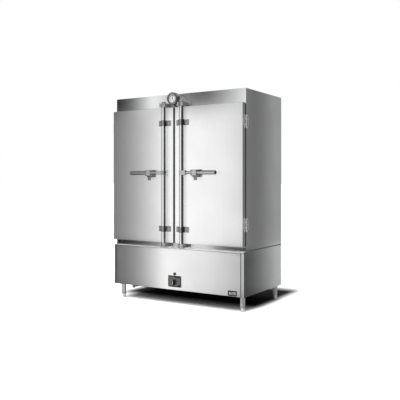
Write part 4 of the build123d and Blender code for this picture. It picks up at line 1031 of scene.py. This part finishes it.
for side_name, side in both_sides:
    bolt_places = []
    for z in saddle_heights:
        bolt_places += at_corners(side * rod_x, saddle_face, z, saddle_bolt_x, saddle_bolt_z)
    saddle_bolts = repeat(bolt, bolt_places, "saddle_bolts_" + side_name)
    put_on(saddle_bolts, fitting_steel, "door_" + side_name)

# Keepers: forked steel blocks bolted to the header and the bottom rail, where
# the cams at the rods' ends catch.
keeper_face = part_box("front_frame")[0].y - 4 * mm
keeper_heights = (1758 * mm, 531 * mm)
keeper_bolt_x = 41 * mm
keeper_steel = steel("keeper_steel", (0.36, 0.36, 0.365, 1), 0.3, 0.42, depth=0.01)
adjust(keeper_steel, "Metallic", 0.4)
unmirrored(keeper_steel, 0.95)
dress(keeper_steel, "cam_keepers")
keeper_bolts = repeat(bolt, [
    ((side * rod_x + across * keeper_bolt_x, keeper_face, z), facing_front)
    for side in (-1, 1) for z in keeper_heights for across in (-1, 1)], "keeper_bolts")
put_on(keeper_bolts, keeper_steel, "cabinet")
scrap(bolt)

# Hinges: bright leaves screwed to the side of the frame and to the doors' edges,
# each screw with a domed, recessed head.
hinge_heights = (1583 * mm, 729 * mm)
hinge_rows = (-33.3 * mm, -11.1 * mm, 11.1 * mm, 33.3 * mm)
facing_left = (0, -quarter, 0)
frame_leaf_x, frame_leaf_y = 688.5 * mm, -292.25 * mm
door_leaf_x, door_leaf_y = 685.5 * mm, -352.25 * mm
hinge_cast = speckled("hinge_cast", (0.56, 0.56, 0.55, 1), (0.46, 0.46, 0.45, 1),
                      420, 0.32, 0.45, 0.15, 0.15 * mm)
adjust(hinge_cast, "Metallic", 0.15)
screw_dark = steel("screw_dark", (0.05, 0.05, 0.052, 1), 0.2, 0.35)
dress(hinge_cast, "cabinet_hinge_leaves", "door_hinge_leaves_left", "door_hinge_leaves_right")
hinge_head = round_head(6 * mm, 0.9 * mm, middle=1.6 * mm, recess=0.6 * mm, sides=18)
frame_places = []
for side_name, side in both_sides:
    facing = facing_right if side > 0 else facing_left
    door_places = []
    for z in hinge_heights:
        for row in hinge_rows:
            frame_places.append(((side * frame_leaf_x, frame_leaf_y, z + row), facing))
            door_places.append(((side * door_leaf_x, door_leaf_y, z + row), facing))
    door_screws = repeat(hinge_head, door_places, "hinge_screws_" + side_name)
    put_on(door_screws, screw_dark, "door_" + side_name)
frame_screws = repeat(hinge_head, frame_places, "hinge_screws_frame")
put_on(frame_screws, screw_dark, "cabinet")

# Lock rods and levers: polished tube as tall as the doors; each lever is welded
# to its rod through a hub, and has weld beads at the hub and at the grip.
rod_y = -390.25 * mm
lever_y = -406.25 * mm
lever_z = 1164 * mm
hub_end, grip_start = 56 * mm, 200 * mm
hub_half = 18 * mm
bead_ripple = 0.25 * mm
lever_steel = steel("lever_steel", (0.41, 0.41, 0.415, 1), 0.22, 0.32, depth=0.01)
dark_rim(lever_steel, 0.03)
unmirrored(lever_steel, 0.95)
dress(polished, "lock_rod_left", "lock_rod_right")
dress(lever_steel, "lever_left", "lever_right")
weld_steel = steel("weld_steel", (0.62, 0.60, 0.57, 1), 0.25, 0.4, depth=0.2)
for side_name, side in both_sides:
    beads = []
    for place, turn, major, minor in (
        ((side * (rod_x + hub_end), lever_y, lever_z), facing_right, 12.4 * mm, 1.5 * mm),
        ((side * (rod_x + grip_start), lever_y, lever_z), facing_right, 13 * mm, 2.2 * mm),
        ((side * rod_x, rod_y, lever_z + hub_half), facing_up, 19.4 * mm, 1.3 * mm),
        ((side * rod_x, rod_y, lever_z - hub_half), facing_up, 19.4 * mm, 1.3 * mm),
    ):
        beads.append(ring_piece("bead", major, minor, place, turn, 1.0, 56, 8))
    weld_beads = as_one(beads, "weld_beads_" + side_name)
    open_faces(weld_beads)
    bpy.ops.transform.vertex_random(offset=bead_ripple, seed=3)
    close_piece()
    put_on(weld_beads, weld_steel, "lock_" + side_name)

# Feet: fixed steel tubes under the base, and screw feet with a ring and a round
# tip below them. A black rubber ring is rolled on each tube's lower edge.
foot_names = ("foot_front_left", "foot_front_right", "foot_back_left", "foot_back_right")
ring_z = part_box("foot_sleeves")[0].z + 2.4 * mm
foot_steel = steel("foot_steel", grey(0.86), 0.16, 0.28, depth=0.01)
dark_rim(foot_steel, 0.1)
adjust(foot_steel, "Metallic", 0.55)
dress(foot_steel, "foot_sleeves", *foot_names)
foot_rings = []
for name in foot_names:
    foot_low, foot_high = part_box(name)
    place = ((foot_low.x + foot_high.x) / 2, (foot_low.y + foot_high.y) / 2, ring_z)
    foot_rings.append(ring_piece("foot_ring", 20.2 * mm, 1.6 * mm, place, facing_up, 1.4, 48, 10))
put_on(as_one(foot_rings, "foot_rings"), rubber, "cabinet")

# Steam vents: short steel pipes that let spare steam out through the back, each
# in a collar held by three screws.
vent_x, vent_z = 330 * mm, 1760 * mm
collar_back = back_y + 2 * mm
collar_screw_radius = 22 * mm
third = 2 * math.pi / 3
dress(fitting_steel, "vent_pipes")
vent_screws = repeat(hinge_head, [
    (on_ring((side * vent_x, vent_z), collar_screw_radius, turn, collar_back), facing_back)
    for side in (-1, 1) for turn in (0, third, 2 * third)], "vent_screws")
put_on(vent_screws, bright_steel, "cabinet")
scrap(hinge_head)
